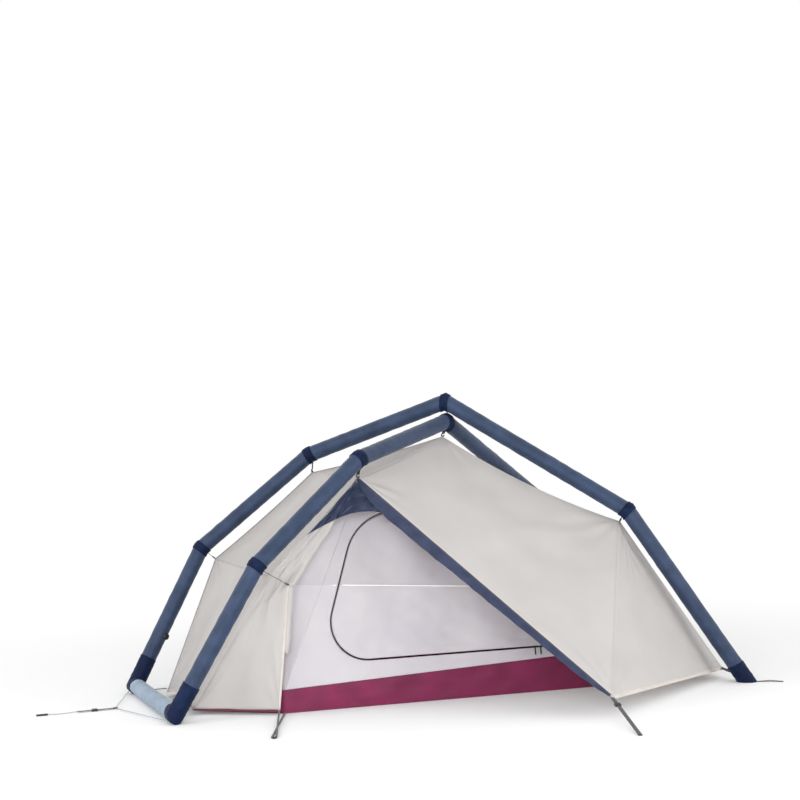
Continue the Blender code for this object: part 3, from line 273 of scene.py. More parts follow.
@dataclass(frozen=True)
class Moulded:
    """A moulded plastic: a fine spark-eroded grain and a soft gloss.

    The grain is drawn 0.6 mm wide, because the real one, about 0.05 mm, is too fine to show.
    """

    name: str
    colour: str
    worn_colour: str
    roughness: float = 0.42
    grain: float = 0.0006
    grain_depth: float = 0.00008
    wear_scale: float = 90.0

    def build(self) -> bpy.types.Material:
        """Makes the material, with its grain on Object coordinates."""
        made, tree = new_material(self.name)
        place = add_node(tree, "ShaderNodeTexCoord")
        grain = add_node(tree, "ShaderNodeTexNoise", None, {"Scale": 1 / self.grain, "Detail": 2.0},
                         {"Vector": place.outputs[Reads.PLACE.value]})
        wear = add_node(tree, "ShaderNodeTexNoise", None, {"Scale": self.wear_scale, "Detail": 4.0},
                        {"Vector": place.outputs[Reads.PLACE.value]})
        spread = add_node(tree, "ShaderNodeMapRange", None, {"From Min": 0.45, "From Max": 0.75},
                          {"Value": wear.outputs["Fac"]})
        tint = add_node(tree, "ShaderNodeMix", {"data_type": "RGBA"},
                        {6: linear(self.colour), 7: linear(self.worn_colour)},
                        {"Factor": spread.outputs["Result"]})
        face = add_node(tree, "ShaderNodeBump", None, {"Strength": 0.5, "Distance": self.grain_depth},
                        {"Height": grain.outputs["Fac"]})
        shader = add_node(tree, "ShaderNodeBsdfPrincipled", None, {"Roughness": self.roughness, "IOR": 1.49},
                          {"Base Color": tint.outputs[2], "Normal": face.outputs[0]})
        add_node(tree, "ShaderNodeOutputMaterial", None, None, {"Surface": shader.outputs[0]})
        return made


class Finishes:
    """Every material of the tent, made once."""

    def __init__(self) -> None:
        """Builds the materials by the names that the sub-assemblies use."""
        kinds = {
            # Polyester coated and sewn to a sleeve: matt slate, with soft light along its creases.
            "sleeve": Cloth("coated_polyester_slate_blue", "#223047", "#2e3d58", 0.52, crease_depth=0.0035,
                            crease_size=0.030, patch_size=0.075, sheen=0.12, gloss=0.22),
            # The same slate cloth painted paler for the cross tube: a painted highlight for the light that
            # falls on it, so its creases read as soft grey dents.
            "cross": Cloth("coated_polyester_slate_painted_highlight", "#6a7e92", "#8193a5", 0.50, crease_depth=0.0030,
                           crease_size=0.030, patch_size=0.08, sheen=0.15),
            # A close-woven reinforcement: so dark and matt that it reads as one plain band.
            "navy": Cloth("coated_polyester_navy", "#0a142c", "#12213f", 0.55, crease_depth=0.0020,
                          crease_size=0.02, patch_size=0.05, sheen=0.02, gloss=0.08),
            # Thin ripstop with silicone on both sides: daylight comes through and shows its fine grid.
            "fly": Cloth("silicone_coated_ripstop_cream", "#d8d5d3", "#d1cecc", 0.62, crease_depth=0.0012,
                         crease_size=0.05, patch_size=0.28, through=0.46, sheen=0.1),
            # The same cloth folded over: little light comes through, so the hem draws a darker line.
            "hem": Cloth("silicone_coated_ripstop_hem", "#c9c2ba", "#c0b8b0", 0.62, patch_size=0.05,
                         through=0.10, sheen=0.1),
            # Coated nylon, smoother than the fly: a deep blue with a low gloss on its bends.
            "flap": Cloth("coated_nylon_dark_blue", "#28324e", "#1a243e", 0.46, crease_depth=0.0020,
                          crease_size=0.03, patch_size=0.05, sheen=0.15),
            # Net above and breathable nylon below: hazy above their seam, milky below it.
            "inner": Cloth("breathable_nylon_and_net", "#f6f4f6", "#f1eef3", 0.70, crease_depth=0.0010,
                           crease_size=0.05, patch_size=0.2, through=0.62, openness=0.16, solid_below=0.4385,
                           solid_slope=0.0706),
            # Nylon with a thick coating: an even magenta with broad, soft highlights.
            "tub": Cloth("coated_nylon_magenta", "#781a47", "#66163b", 0.46, crease_depth=0.0020,
                         crease_size=0.04, patch_size=0.10, sheen=0.2, through=0.05),
            # Blown film: milky and half clear inside the sleeves.
            "film": Cloth("polyurethane_film", "#c3cbd2", "#b7c0c8", 0.30, rip_depth=0.00001, through=0.4),
            # Woven webbing: ribs across it that catch a thin grey light.
            "webbing": Yarn("woven_polyester_webbing_black", "#1b1c20", "#0c0d0f", 0.0016, 0.0003),
            # Ribbed grosgrain: a pale line with a fine cross grain.
            "tape": Yarn("grosgrain_tape_pale", "#cfc8c0", "#bdb5ac", 0.0012, 0.0002, 0.8),
            # Smooth woven tape: the white line between net and nylon.
            "seam": Yarn("woven_nylon_tape_white", "#e8e6ea", "#dedce1", 0.0010, 0.0001, 0.8),
            # Grosgrain in the tub's colour: a dark red edge.
            "binding": Yarn("grosgrain_tape_maroon", "#6d2845", "#541c34", 0.0012, 0.0002, 0.8),
            # Wound nylon monofilament: a beaded black line.
            "coil": Yarn("nylon_zip_coil_black", "#17181b", "#07080a", 0.0018, 0.0006, 0.45),
            # Braid: slanted strands that break its highlight into grey dashes.
            "braid": Yarn("braided_polyester_cord_grey", "#a9adb3", "#7c8087", 0.0022, 0.0003, 0.8, True),
            # The same braid in black: its slant shows only in the highlights.
            "black_cord": Yarn("braided_polyester_cord_black", "#26272b", "#101114", 0.0026, 0.0004, 0.8,
                               True),
            # Acetal from a spark-eroded mould: black with a fine, dull grain.
            "acetal": Moulded("moulded_acetal_black", "#191a1d", "#25262a"),
            # Moulded nylon: a little glossier, so that each hook has a thin highlight.
            "hook": Moulded("moulded_nylon_black", "#1c1d20", "#2a2b2f", 0.38),
        }
        self.made = {key: kind.build() for key, kind in kinds.items()}

    def __getitem__(self, key: str) -> bpy.types.Material:
        """The material of that name."""
        return self.made[key]


def ripple(points: Array, size: float, seed: int, waves: int = 24) -> Array:
    """Smooth, even noise: the sum of plane waves of one wavelength with seeded directions and phases.

    Args:
        points: places, as rows of three.
        size: the wavelength; three sizes stretch it along the axes.
        seed: the seed of the random draws.
        waves: how many plane waves are summed.

    Returns:
        One value for each place, mostly from -1 to 1.
    """
    rng = np.random.default_rng(seed)
    ways = rng.normal(size=(waves, 3))
    ways /= np.linalg.norm(ways, axis=1, keepdims=True)
    phases = rng.uniform(0, 2 * math.pi, waves)
    angles = (points / np.asarray(size)).reshape(-1, 3) @ ways.T * 2 * math.pi + phases
    return (np.sin(angles).sum(axis=1) / math.sqrt(waves / 2)).reshape(points.shape[:-1])


def edge(*places: Array, sag: float | Sequence[float] = 0.0, steps: int = 24) -> Array:
    """A line of straight or sagging spans: each point lies on the chord, lowered by a parabola.

    Args:
        places: the ends of the spans.
        sag: how far the middle of each span drops.
        steps: points per span.

    Returns:
        The line's points.
    """
    spans = len(places) - 1
    drops = sag if isinstance(sag, (tuple, list)) else [sag] * spans
    found = []
    for first, last, drop in zip(places, places[1:], drops):
        share = np.linspace(0.0, 1.0, steps + 1)[:, None]
        span = np.asarray(first) * (1 - share) + np.asarray(last) * share
        span[:, 2:] -= 4 * drop * share * (1 - share)
        found.append(span if not found else span[1:])
    return np.vstack(found)


def along(points: Array, share: Array) -> Array:
    """The places of a line at shares of its spans."""
    at = share * (len(points) - 1)
    return np.stack([np.interp(at, np.arange(len(points)), points[:, axis]) for axis in range(3)], axis=-1)


def run_along(points: Array) -> Array:
    """The distance run at each point of a line, from nought at its first."""
    return np.concatenate([[0.0], np.linalg.norm(np.diff(points, axis=0), axis=1).cumsum()])


def straight(first: Array, last: Array, count: int) -> Array:
    """Points spread evenly from one place to another."""
    share = np.linspace(0.0, 1.0, count)[:, None]
    return first * (1 - share) + last * share


def unit(vector: Array) -> Array:
    """The vector at length one, row by row."""
    return vector / np.maximum(np.linalg.norm(vector, axis=-1, keepdims=True), 1e-12)


def put_mesh(name: str, points: Array, quads: Array, corners: Array,
             tris: Array | None = None) -> bpy.types.Object:
    """Makes an object from points, quads and each quad corner's place on the flat cloth.

    Args:
        name: the piece's name.
        points: the vertices.
        quads: rows of four vertex numbers.
        corners: for each quad, four flat places in metres.
        tris: rows of three vertex numbers that close poles and ends.

    Returns:
        The object, at the origin.
    """
    mesh = bpy.data.meshes.new(name)
    faces = quads.tolist() + ([] if tris is None else tris.tolist())
    mesh.from_pydata(points.reshape(-1, 3).tolist(), [], faces)
    laid = np.zeros((len(mesh.loops), 2), np.float32)
    laid[:quads.size] = corners.reshape(-1, 2)
    layer = mesh.uv_layers.new(name="Cloth")
    layer.data.foreach_set("uv", laid.ravel())
    mesh.validate()
    obj = bpy.data.objects.new(name, mesh)
    bpy.context.scene.collection.objects.link(obj)
    mesh.shade_smooth()
    return obj


def grid_object(name: str, places: Array, flat: Array, wrap: bool = False,
                capped: bool = False) -> bpy.types.Object:
    """Makes an object from a grid of places: a quad between each four neighbours.

    Args:
        name: the piece's name.
        places: the grid, rows by columns by three.
        flat: flat places in metres, with one more column than the grid where it wraps.
        wrap: whether the last column joins the first.
        capped: whether the first and last rows are closed by a fan, where the grid wraps.

    Returns:
        The object.
    """
    rows, columns = places.shape[:2]
    index = np.arange(rows * columns).reshape(rows, columns)
    if wrap:
        index = np.hstack([index, index[:, :1]])
    quads = np.stack([index[:-1, :-1], index[:-1, 1:], index[1:, 1:], index[1:, :-1]], axis=-1).reshape(-1, 4)
    laid = np.stack([flat[:-1, :-1], flat[:-1, 1:], flat[1:, 1:], flat[1:, :-1]], axis=-2).reshape(-1, 4, 2)
    points, tris = places.reshape(-1, 3), None
    if capped:
        ends = np.vstack([places[0].mean(axis=0), places[-1].mean(axis=0)])
        low = np.stack([index[0, 1:], index[0, :-1], np.full(columns, rows * columns)], axis=-1)
        high = np.stack([index[-1, :-1], index[-1, 1:], np.full(columns, rows * columns + 1)], axis=-1)
        points, tris = np.vstack([points, ends]), np.vstack([low, high])
    obj = put_mesh(name, points, quads, laid, tris)
    if wrap:
        outward(obj)
    return obj


@contextmanager
def editing(obj: bpy.types.Object) -> Iterator[bmesh.types.BMesh]:
    """Opens a piece's mesh for editing, and writes it back."""
    bm = bmesh.new()
    bm.from_mesh(obj.data)
    yield bm
    bm.to_mesh(obj.data)
    bm.free()


def outward(obj: bpy.types.Object) -> None:
    """Turns the faces of a closed mesh to point out."""
    with editing(obj) as bm:
        bmesh.ops.recalc_face_normals(bm, faces=bm.faces)


def sweep(name: str, path: Array, section: Array, side: Array, up: Array, scale: Array | None = None,
          joined: bool = False) -> bpy.types.Object:
    """Carries a closed section along a path: place = path + side x section x + up x section y.

    Args:
        name: the piece's name.
        path: the points of the centre line.
        section: the closed outline, as rows of two.
        side: the section's x direction, one for all points or one for each.
        up: the section's y direction, likewise.
        scale: the section's size at each point of the path.
        joined: whether the path closes on itself.

    Returns:
        The object, with its ends closed by fans.
    """
    count = len(path)
    size = np.ones(count) if scale is None else scale
    sides = np.broadcast_to(side, (count, 3))[:, None]
    ups = np.broadcast_to(up, (count, 3))[:, None]
    places = path[:, None] + (sides * section[None, :, :1] + ups * section[None, :, 1:]) * size[:, None, None]
    run = run_along(path)
    loop = np.vstack([section, section[:1]])
    girth = run_along(loop)
    if joined:
        places = np.vstack([places, places[:1]])
        run = np.append(run, run[-1] + np.linalg.norm(path[0] - path[-1]))
    flat = np.stack(np.meshgrid(girth, run), axis=-1)
    if not joined:
        return grid_object(name, places, flat, wrap=True, capped=True)
    obj = grid_object(name, places, flat, wrap=True)
    with editing(obj) as bm:
        bmesh.ops.remove_doubles(bm, verts=bm.verts, dist=1e-6)
    outward(obj)
    return obj


def sweep_on(name: str, line: Array, lean: Array, section: Array) -> bpy.types.Object:
    """Carries a section along a line, its x direction square to the line and to the lean."""
    side, up = rails(line, lean)
    return sweep(name, line, section, side, up)


def round_section(radius: float, sides: int = 12) -> Array:
    """The outline of a circle: radius x (cos, sin) at even turns."""
    turn = np.linspace(0.0, 2 * math.pi, sides, endpoint=False)
    return radius * np.stack([np.cos(turn), np.sin(turn)], axis=-1)


def strap_section(width: float, thickness: float, sides: int = 16) -> Array:
    """The outline of a flat strap with round edges: a superellipse of power six across the width."""
    turn = np.linspace(0.0, 2 * math.pi, sides, endpoint=False)
    across = np.sign(np.cos(turn)) * np.abs(np.cos(turn)) ** (1 / 3) * width / 2
    high = np.sign(np.sin(turn)) * np.abs(np.sin(turn)) ** (2 / 3) * thickness / 2
    return np.stack([across, high], axis=-1)


def rails(path: Array, lean: Array) -> tuple[Array, Array]:
    """Directions across a path: side is square to the run and to the lean, and up completes the three."""
    run = unit(np.gradient(path, axis=0))
    side = unit(np.cross(run, np.broadcast_to(lean, path.shape)))
    return side, unit(np.cross(side, run))


def smooth_line(points: Sequence[Sequence[float]], steps: int) -> Array:
    """A smooth line through chosen points: uniform Catmull-Rom spans, which keep every point."""
    given = np.asarray(points, float)
    held = np.vstack([2 * given[0] - given[1], given, 2 * given[-1] - given[-2]])
    share = np.linspace(0.0, 1.0, steps, endpoint=False)[:, None]
    found = []
    for a, b, c, d in zip(held, held[1:], held[2:], held[3:]):
        found.append(0.5 * (2 * b + (c - a) * share + (2 * a - 5 * b + 4 * c - d) * share ** 2
                            + (3 * b - a - 3 * c + d) * share ** 3))
    return np.vstack([*found, given[-1:]])


def dress(obj: bpy.types.Object, material: bpy.types.Material, nodes: Sequence[str] = (),
          body: str = ROOT) -> None:
    """Gives a piece its material, body and the solids that it stands for.

    Args:
        obj: the piece.
        material: its material.
        nodes: the CAD nodes that it replaces.
        body: the CAD body that it rides on.
    """
    obj.data.materials.clear()
    obj.data.materials.append(material)
    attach(obj, body)
    if nodes:
        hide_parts(*nodes)
    log.info("%s rides on %s", obj.name, body)


def add_wall(obj: bpy.types.Object, thickness: float, offset: float) -> None:
    """Gives an open cloth its wall: on the side that its faces show at offset 1, behind them at -1."""
    wall = obj.modifiers.new("Wall", "SOLIDIFY")
    wall.thickness = thickness
    wall.offset = offset


def thicken(obj: bpy.types.Object, thickness: float) -> None:
    """Turns an open cloth's faces away from the tent's middle and gives it its wall outwards."""
    mesh = obj.data
    count = len(mesh.polygons)
    centres, normals = np.empty(count * 3), np.empty(count * 3)
    mesh.polygons.foreach_get("center", centres)
    mesh.polygons.foreach_get("normal", normals)
    if ((centres.reshape(-1, 3) - MIDDLE) * normals.reshape(-1, 3)).sum() < 0:
        mesh.flip_normals()
    add_wall(obj, thickness, 1.0)


@dataclass
class Layout:
    """The kinks of the air frame and the corners of the cloths, as in the solids."""

    tube_radius: float = 0.0335
    crown_height: float = 1.197
    crown_low_height: float = 1.1115
    shoulder: tuple[float, float, float] = (-0.513, 0.350, 0.985)
    knee: tuple[float, float, float] = (-0.985, 0.470, 0.595)
    foot: tuple[float, float, float] = (-1.310, 0.400, 0.035)
    bend: tuple[float, float, float] = (0.626, 0.450, 0.718)
    head_toe: tuple[float, float, float] = (1.0236, 0.6986, 0.0)
    fly_crown: tuple[float, float, float] = (-0.020, 0.0, 1.045)
    fly_shoulder: tuple[float, float, float] = (-0.513, 0.320, 0.905)
    fly_knee: tuple[float, float, float] = (-0.932, 0.428, 0.548)
    fly_foot: tuple[float, float, float] = (-1.205, 0.240, 0.022)
    fly_bend: tuple[float, float, float] = (0.605, 0.415, 0.668)
    fly_head: tuple[float, float, float] = (0.995, 0.540, 0.037)
    porch: tuple[float, float, float] = (0.197, -1.135, 0.075)
    hem_foot: tuple[float, float, float] = (-0.905, 0.432, 0.018)
    hem_head: tuple[float, float, float] = (0.520, 0.585, 0.030)
    edge_knee: tuple[float, float, float] = (-0.847, 0.424, 0.506)
    gusset_foot: tuple[float, float, float] = (-0.630, 0.362, 0.745)
    inner_crown: tuple[float, float, float] = (-0.020, 0.0, 0.985)
    inner_shoulder: tuple[float, float, float] = (-0.505, 0.287, 0.855)
    inner_bend: tuple[float, float, float] = (0.595, 0.4053, 0.605)
    inner_knee: tuple[float, float, float] = (-0.885, 0.375, 0.490)
    tub_foot: tuple[float, float, float] = (-1.165, 0.165, 0.075)
    tub_corner: tuple[float, float, float] = (-0.874, 0.407, 0.092)
    tub_waist: tuple[float, float, float] = (0.450, 0.482, 0.147)
    tub_head: tuple[float, float, float] = (0.905, 0.400, 0.110)

    def at(self, name: str, front: bool = True) -> Array:
        """A named place on the front side, or its mirror image on the rear side."""
        place = np.array(getattr(self, name), float)
        return place * (1.0, -1.0 if front else 1.0, 1.0)

    def kinks(self) -> dict[str, Array]:
        """The kinks of the air frame, in the order of its run."""
        found = {"front_toe": self.at("head_toe"), "front_bend": self.at("bend"),
                 "crown_upper": np.array((0.0, 0.0, self.crown_height))}
        for name in ("shoulder", "knee", "foot"):
            found["rear_" + name] = self.at(name, front=False)
        for name in ("foot", "knee", "shoulder"):
            found["front_" + name] = self.at(name)
        found["crown_lower"] = np.array((0.0, 0.0, self.crown_low_height))
        found["rear_bend"] = self.at("bend", front=False)
        found["rear_toe"] = self.at("head_toe", front=False)
        return found


@dataclass
class AirFrame:
    """The inflated sleeves, their collars, hangers, cuffs and cups."""

    layout: Layout
    finishes: Finishes
    ring_sides: int = 40
    ring_step: float = 0.010
    collar_reach: float = 0.019
    collar_radius: float = 0.0358
    cuff_radius: float = 0.0352
    cuff_leg_reach: float = 0.128
    cuff_cross_reach: float = 0.050
    cup_reach: float = 0.085
    hanger_width: float = 0.015
    hanger_thickness: float = 0.0018
    hook_wire: float = 0.0056
    hook_radius: float = 0.0065
    strap_width: float = 0.016
    strap_thickness: float = 0.0020
    edge_standoff: float = 0.0119
    peg_strap_length: float = 0.105
    ground_gap: float = 0.0003
    pucker_depth: float = 0.0011
    pucker_reach: float = 0.060
    bladder_inset: float = 0.0044
    sleeve_inset: float = 0.0004
    bead_height: float = 0.0006
    bead_width: float = 0.005
    collar_step: float = 0.0048
    cuff_step: float = 0.0050
    strap_sag: float = 0.004
    peg_strap_arch: float = 0.003
    sleeve_ripple: float = 0.00035
    sleeve_sink: float = 0.0002
    band_ripple: float = 0.0004
    hook_gap: float = 0.0012
    sleeves: tuple[str, ...] = (
        "sleeve_front_head_leg", "sleeve_front_head_crown", "sleeve_rear_foot_crown",
        "sleeve_rear_foot_thigh", "sleeve_rear_foot_shin", "sleeve_foot_cross", "sleeve_front_foot_shin",
        "sleeve_front_foot_thigh", "sleeve_front_foot_crown", "sleeve_rear_head_crown",
        "sleeve_rear_head_leg")

    def rings(self, low: Array, high: Array, low_normal: Array, high_normal: Array, count: int,
              radius: float) -> tuple[Array, Array]:
        """Rings of a straight tube whose end rings lie in the planes that halve its bends.

        Each ring point slides along the run by a share of the end planes' lean, so that the rings turn
        evenly from one plane to the other.

        Args:
            low: the run's first end.
            high: its last end.
            low_normal: the normal of the first end's plane.
            high_normal: the normal of the last end's plane.
            count: how many rings.
            radius: the tube's radius.

        Returns:
            The grid of places, and each ring point's direction from the centre line.
        """
        run = unit(high - low)
        across = unit(np.cross(run, (0.3, 0.2, 0.93)))
        rise = np.cross(run, across)
        turn = np.linspace(0.0, 2 * math.pi, self.ring_sides, endpoint=False)
        out = np.cos(turn)[:, None] * across + np.sin(turn)[:, None] * rise
        share = np.linspace(0.0, 1.0, count)[:, None]
        slide_low = -(out @ low_normal) * radius / (run @ low_normal)
        slide_high = -(out @ high_normal) * radius / (run @ high_normal)
        near = np.clip(1 - share * np.linalg.norm(high - low) / (3 * radius), 0, 1)
        far = np.clip(1 - (1 - share) * np.linalg.norm(high - low) / (3 * radius), 0, 1)
        slide = near * slide_low + far * slide_high
        places = straight(low, high, count)[:, None] + out[None] * radius + slide[..., None] * run
        return places, np.broadcast_to(out, places.shape)

    def flat_of(self, places: Array) -> Array:
        """Flat places of a wrapped grid: girth across, run down."""
        columns = places.shape[1]
        girth = np.linspace(0.0, 2 * math.pi * self.layout.tube_radius, columns + 1)
        run = run_along(places[:, 0])
        return np.stack(np.meshgrid(girth, run), axis=-1)

    def build_sleeves(self, kinks: list[Array], normals: list[Array]) -> None:
        """Builds the sleeve of each run, puckered beside its collars and faintly creased along its length."""
        radius = self.layout.tube_radius
        for index, name in enumerate(self.sleeves):
            low, high = kinks[index], kinks[index + 1]
            length = float(np.linalg.norm(high - low))
            count = int(length / self.ring_step) + 2
            places, out = self.rings(low, high, normals[index], normals[index + 1], count,
                                     radius - self.sleeve_inset)
            distance = np.linspace(0.0, length, count)[:, None]
            end = np.minimum(distance, length - distance)
            turn = np.linspace(0.0, 2 * math.pi, self.ring_sides, endpoint=False)[None]
            held = np.clip(end / self.collar_reach - 1.0, 0, 1)
            pull = np.exp(-end / self.pucker_reach) * held
            wave = np.sin(9 * turn + 2.3 * ripple(places, 0.11, 11 + index)) * self.pucker_depth * pull
            soft = ripple(places, 0.045, 31 + index) * self.sleeve_ripple * held
            places = places + out * (wave + soft - self.sleeve_sink)[..., None]
            obj = grid_object(name + "_cloth", places, self.flat_of(places), wrap=True, capped=True)
            # The cross tube takes the paler copy of the slate cloth, whose colour holds a painted highlight.
            kind = "cross" if name == "sleeve_foot_cross" else "sleeve"
            dress(obj, self.finishes[kind], [name])

    def build_bladders(self, kinks: list[Array], normals: list[Array]) -> None:
        """Builds the film tubes inside the sleeves."""
        radius = self.layout.tube_radius - self.bladder_inset
        for name, first, last in (("bladder_upper_arch", 0, 5), ("bladder_foot_cross", 5, 6),
                                  ("bladder_lower_arch", 6, 11)):
            if last - first == 1:
                places, _ = self.rings(kinks[first], kinks[last], normals[first], normals[last], 10, radius)
            else:
                places = self.carried(kinks[first:last + 1], normals[first:last + 1], radius)
            obj = grid_object(name + "_film", places, self.flat_of(places), wrap=True, capped=True)
            dress(obj, self.finishes["film"], [name])

    def carried(self, path: list[Array], normals: list[Array], radius: float, step: float = 0.03) -> Array:
        """Rings along a kinked path, whose section turns with each kink so that no ring twists."""
        run = unit(path[1] - path[0])
        across = unit(np.cross(run, (0.3, 0.2, 0.93)))
        rings = []
        turn = np.linspace(0.0, 2 * math.pi, self.ring_sides, endpoint=False)
        for index in range(len(path) - 1):
            new_run = unit(path[index + 1] - path[index])
            across = unit(across - new_run * (across @ new_run))
            rise = np.cross(new_run, across)
            out = np.cos(turn)[:, None] * across + np.sin(turn)[:, None] * rise
            length = np.linalg.norm(path[index + 1] - path[index])
            count = max(3, int(length / step))
            for share in np.linspace(0.0, 1.0, count)[(1 if rings else 0):]:
                near = max(0.0, 1 - share * length / (3 * radius))
                far = max(0.0, 1 - (1 - share) * length / (3 * radius))
                slide = -(near * (out @ normals[index]) / (new_run @ normals[index])
                          + far * (out @ normals[index + 1]) / (new_run @ normals[index + 1])) * radius
                rings.append(path[index] * (1 - share) + path[index + 1] * share + out * radius
                             + slide[:, None] * new_run)
        return np.array(rings)

    def banded(self, name: str, path: list[Array], normals: list[Array], radius: float, step: float,
               first_bead: bool = True) -> bpy.types.Object:
        """A sewn band round the tube: rings carried over its kink, with a bound bead at its open edges.

        Args:
            name: the piece's name.
            path: the band's centre line.
            normals: the normals of its end planes and kinks.
            radius: its outer radius.
            step: the distance between rings.
            first_bead: whether the first edge is bound, as the last one is.

        Returns:
            The band, closed at its ends.
        """
        places = self.carried(path, normals, radius, step)
        middle = places.mean(axis=1, keepdims=True)
        run = run_along(middle[:, 0])
        lift = np.where(run > run[-1] - self.bead_width, self.bead_height, 0.0)
        if first_bead:
            lift += np.where(run < self.bead_width, self.bead_height, 0.0)
        soft = ripple(places, 0.02, len(name)) * self.band_ripple
        places = middle + (places - middle) * (1 + (lift[:, None] + soft)[..., None] / radius)
        return grid_object(name, places, self.flat_of(places), wrap=True, capped=True)

    def build_collars(self, names: list[str], kinks: list[Array], normals: list[Array]) -> None:
        """Builds the seam collar of each kink, and the hanger that carries the fly from it."""
        layout = self.layout
        targets = {"front_bend": layout.at("fly_bend"), "rear_bend": layout.at("fly_bend", False),
                   "rear_shoulder": layout.at("fly_shoulder", False),
                   "front_shoulder": layout.at("fly_shoulder"),
                   "rear_knee": layout.at("fly_knee", False),
                   "front_knee": layout.at("edge_knee") - (0.0, self.edge_standoff, 0.0),
                   "crown_lower": layout.at("fly_crown")}
        for index, key in enumerate(names):
            if key.endswith(("foot", "toe")):
                continue
            before, corner, after = kinks[index - 1:index + 2]
            ways = unit(before - corner), unit(after - corner)
            path = [corner + ways[0] * self.collar_reach, corner, corner + ways[1] * self.collar_reach]
            band = self.banded(f"collar_{key}_band", path, [-ways[0], normals[index], ways[1]],
                               self.collar_radius, self.collar_step)
            dress(band, self.finishes["navy"], ["collar_" + key])
            if key in targets:
                self.build_hanger(key, corner, normals[index], targets[key])

    def build_hanger(self, key: str, corner: Array, normal: Array, target: Array) -> None:
        """Builds the webbing tab that leaves a collar and the wire hook on its end.

        Args:
            key: the kink's name.
            corner: the kink.
            normal: the normal of the plane that halves the bend.
            target: the fly's corner that the hook carries.
        """
        out = target - corner
        out = unit(out - normal * (out @ normal))
        start = corner + out * (self.collar_radius - 0.002)
        way = unit(target - start)
        reach = float(np.linalg.norm(target - start)) - self.hook_gap
        low = reach - self.hook_radius - self.hook_wire / 2
        side = unit(np.cross(normal, way))
        path = start + way * np.linspace(0.0, low - self.hook_radius, 12)[:, None]
        strap = sweep(f"hanger_{key}_strap", path, strap_section(self.hanger_width, self.hanger_thickness),
                      side, np.cross(way, side))
        dress(strap, self.finishes["webbing"])
        turn = np.radians(np.linspace(-90.0, 195.0, 28))[:, None]
        bow = start + way * (low + self.hook_radius * np.sin(turn)) + side * self.hook_radius * np.cos(turn)
        hook = sweep_on(f"hanger_{key}_hook", bow, np.cross(way, side), round_section(self.hook_wire / 2))
        dress(hook, self.finishes["hook"])

    def build_feet(self, names: list[str], kinks: list[Array]) -> None:
        """Builds the cuffs over the foot corners, and the cups with their straps under the head feet."""
        for index, side in ((names.index("rear_foot"), "rear"), (names.index("front_foot"), "front")):
            leg, across = (kinks[index - 1], kinks[index + 1])
            if side == "front":
                leg, across = across, leg
            corner = kinks[index]
            to_leg, to_cross = unit(leg - corner), unit(across - corner)
            halving = unit(to_cross - to_leg)
            path = [corner + to_leg * self.cuff_leg_reach, corner, corner + to_cross * self.cuff_cross_reach]
            cuff = self.banded(f"cuff_{side}_foot_cloth", path, [-to_leg, halving, to_cross],
                               self.cuff_radius, self.cuff_step)
            dress(cuff, self.finishes["navy"], [f"cuff_{side}_foot"])
            target = self.layout.at("fly_foot", side == "front")
            start = np.array((corner[0] + self.cuff_radius, target[1], corner[2]))
            end = np.array((target[0] - 2 * self.strap_thickness, target[1], corner[2]))
            line = start + (end - start) * np.linspace(0, 1, 8)[:, None]
            self.lay_strap(f"strap_{side}_foot", line, UP)
        for toe, bend, side in ((kinks[0], kinks[1], "front"), (kinks[-1], kinks[-2], "rear")):
            rise = unit(bend - toe)
            cup = self.banded(f"cup_{side}_head_cloth", [toe, toe + rise * self.cup_reach], [UP, rise],
                              self.cuff_radius, self.cuff_step, first_bead=False)
            cup.data.vertices.foreach_set("co", self.grounded(cup))
            dress(cup, self.finishes["navy"], [f"cup_{side}_head"])
            target = self.layout.at("fly_head", side == "front")
            start = toe + rise * ((target[2] - toe[2]) / rise[2])
            way = unit(np.array((target[0] - start[0], target[1] - start[1], 0.0)))
            length = np.linalg.norm((target - start)[:2]) - 0.004
            line = start + way * np.linspace(self.cuff_radius, length, 16)[:, None]
            line[:, 2] -= self.strap_sag * np.sin(np.linspace(0.0, math.pi, 16))
            self.lay_strap(f"strap_{side}_head", line, np.cross(rise, way))
            out = -unit(rise * (1.0, 1.0, 0.0))
            share = np.linspace(0.0, 1.0, 30)[:, None]
            line = toe + out * (self.cuff_radius / rise[2] - 0.001 + self.peg_strap_length * share)
            arch = self.peg_strap_arch * np.sin(math.pi * share) ** 2
            line = line + UP * (self.ground_gap + self.strap_thickness / 2 + arch)
            self.lay_strap(f"strap_{side}_head_peg", line, UP)

    def lay_strap(self, name: str, line: Array, face: Array) -> None:
        """Lays a short sewn webbing strap along a line, its flat side turned to the face direction."""
        strap = sweep_on(name, line, face, strap_section(self.strap_width, self.strap_thickness))
        dress(strap, self.finishes["webbing"])

    def grounded(self, cup: bpy.types.Object) -> Array:
        """The cup's vertices, none of them below the ground."""
        found = np.empty(len(cup.data.vertices) * 3)
        cup.data.vertices.foreach_get("co", found)
        found[2::3] = np.maximum(found[2::3], 0.0)
        return found

    def build(self) -> None:
        """Builds the whole air frame."""
        places = self.layout.kinks()
        names, kinks = list(places), list(places.values())
        mitres = [unit(unit(b - a) + unit(c - b)) for a, b, c in zip(kinks, kinks[1:], kinks[2:])]
        normals = [UP, *mitres, UP]
        self.build_sleeves(kinks, normals)
        self.build_bladders(kinks, normals)
        self.build_collars(names, kinks, normals)
        self.build_feet(names, kinks)


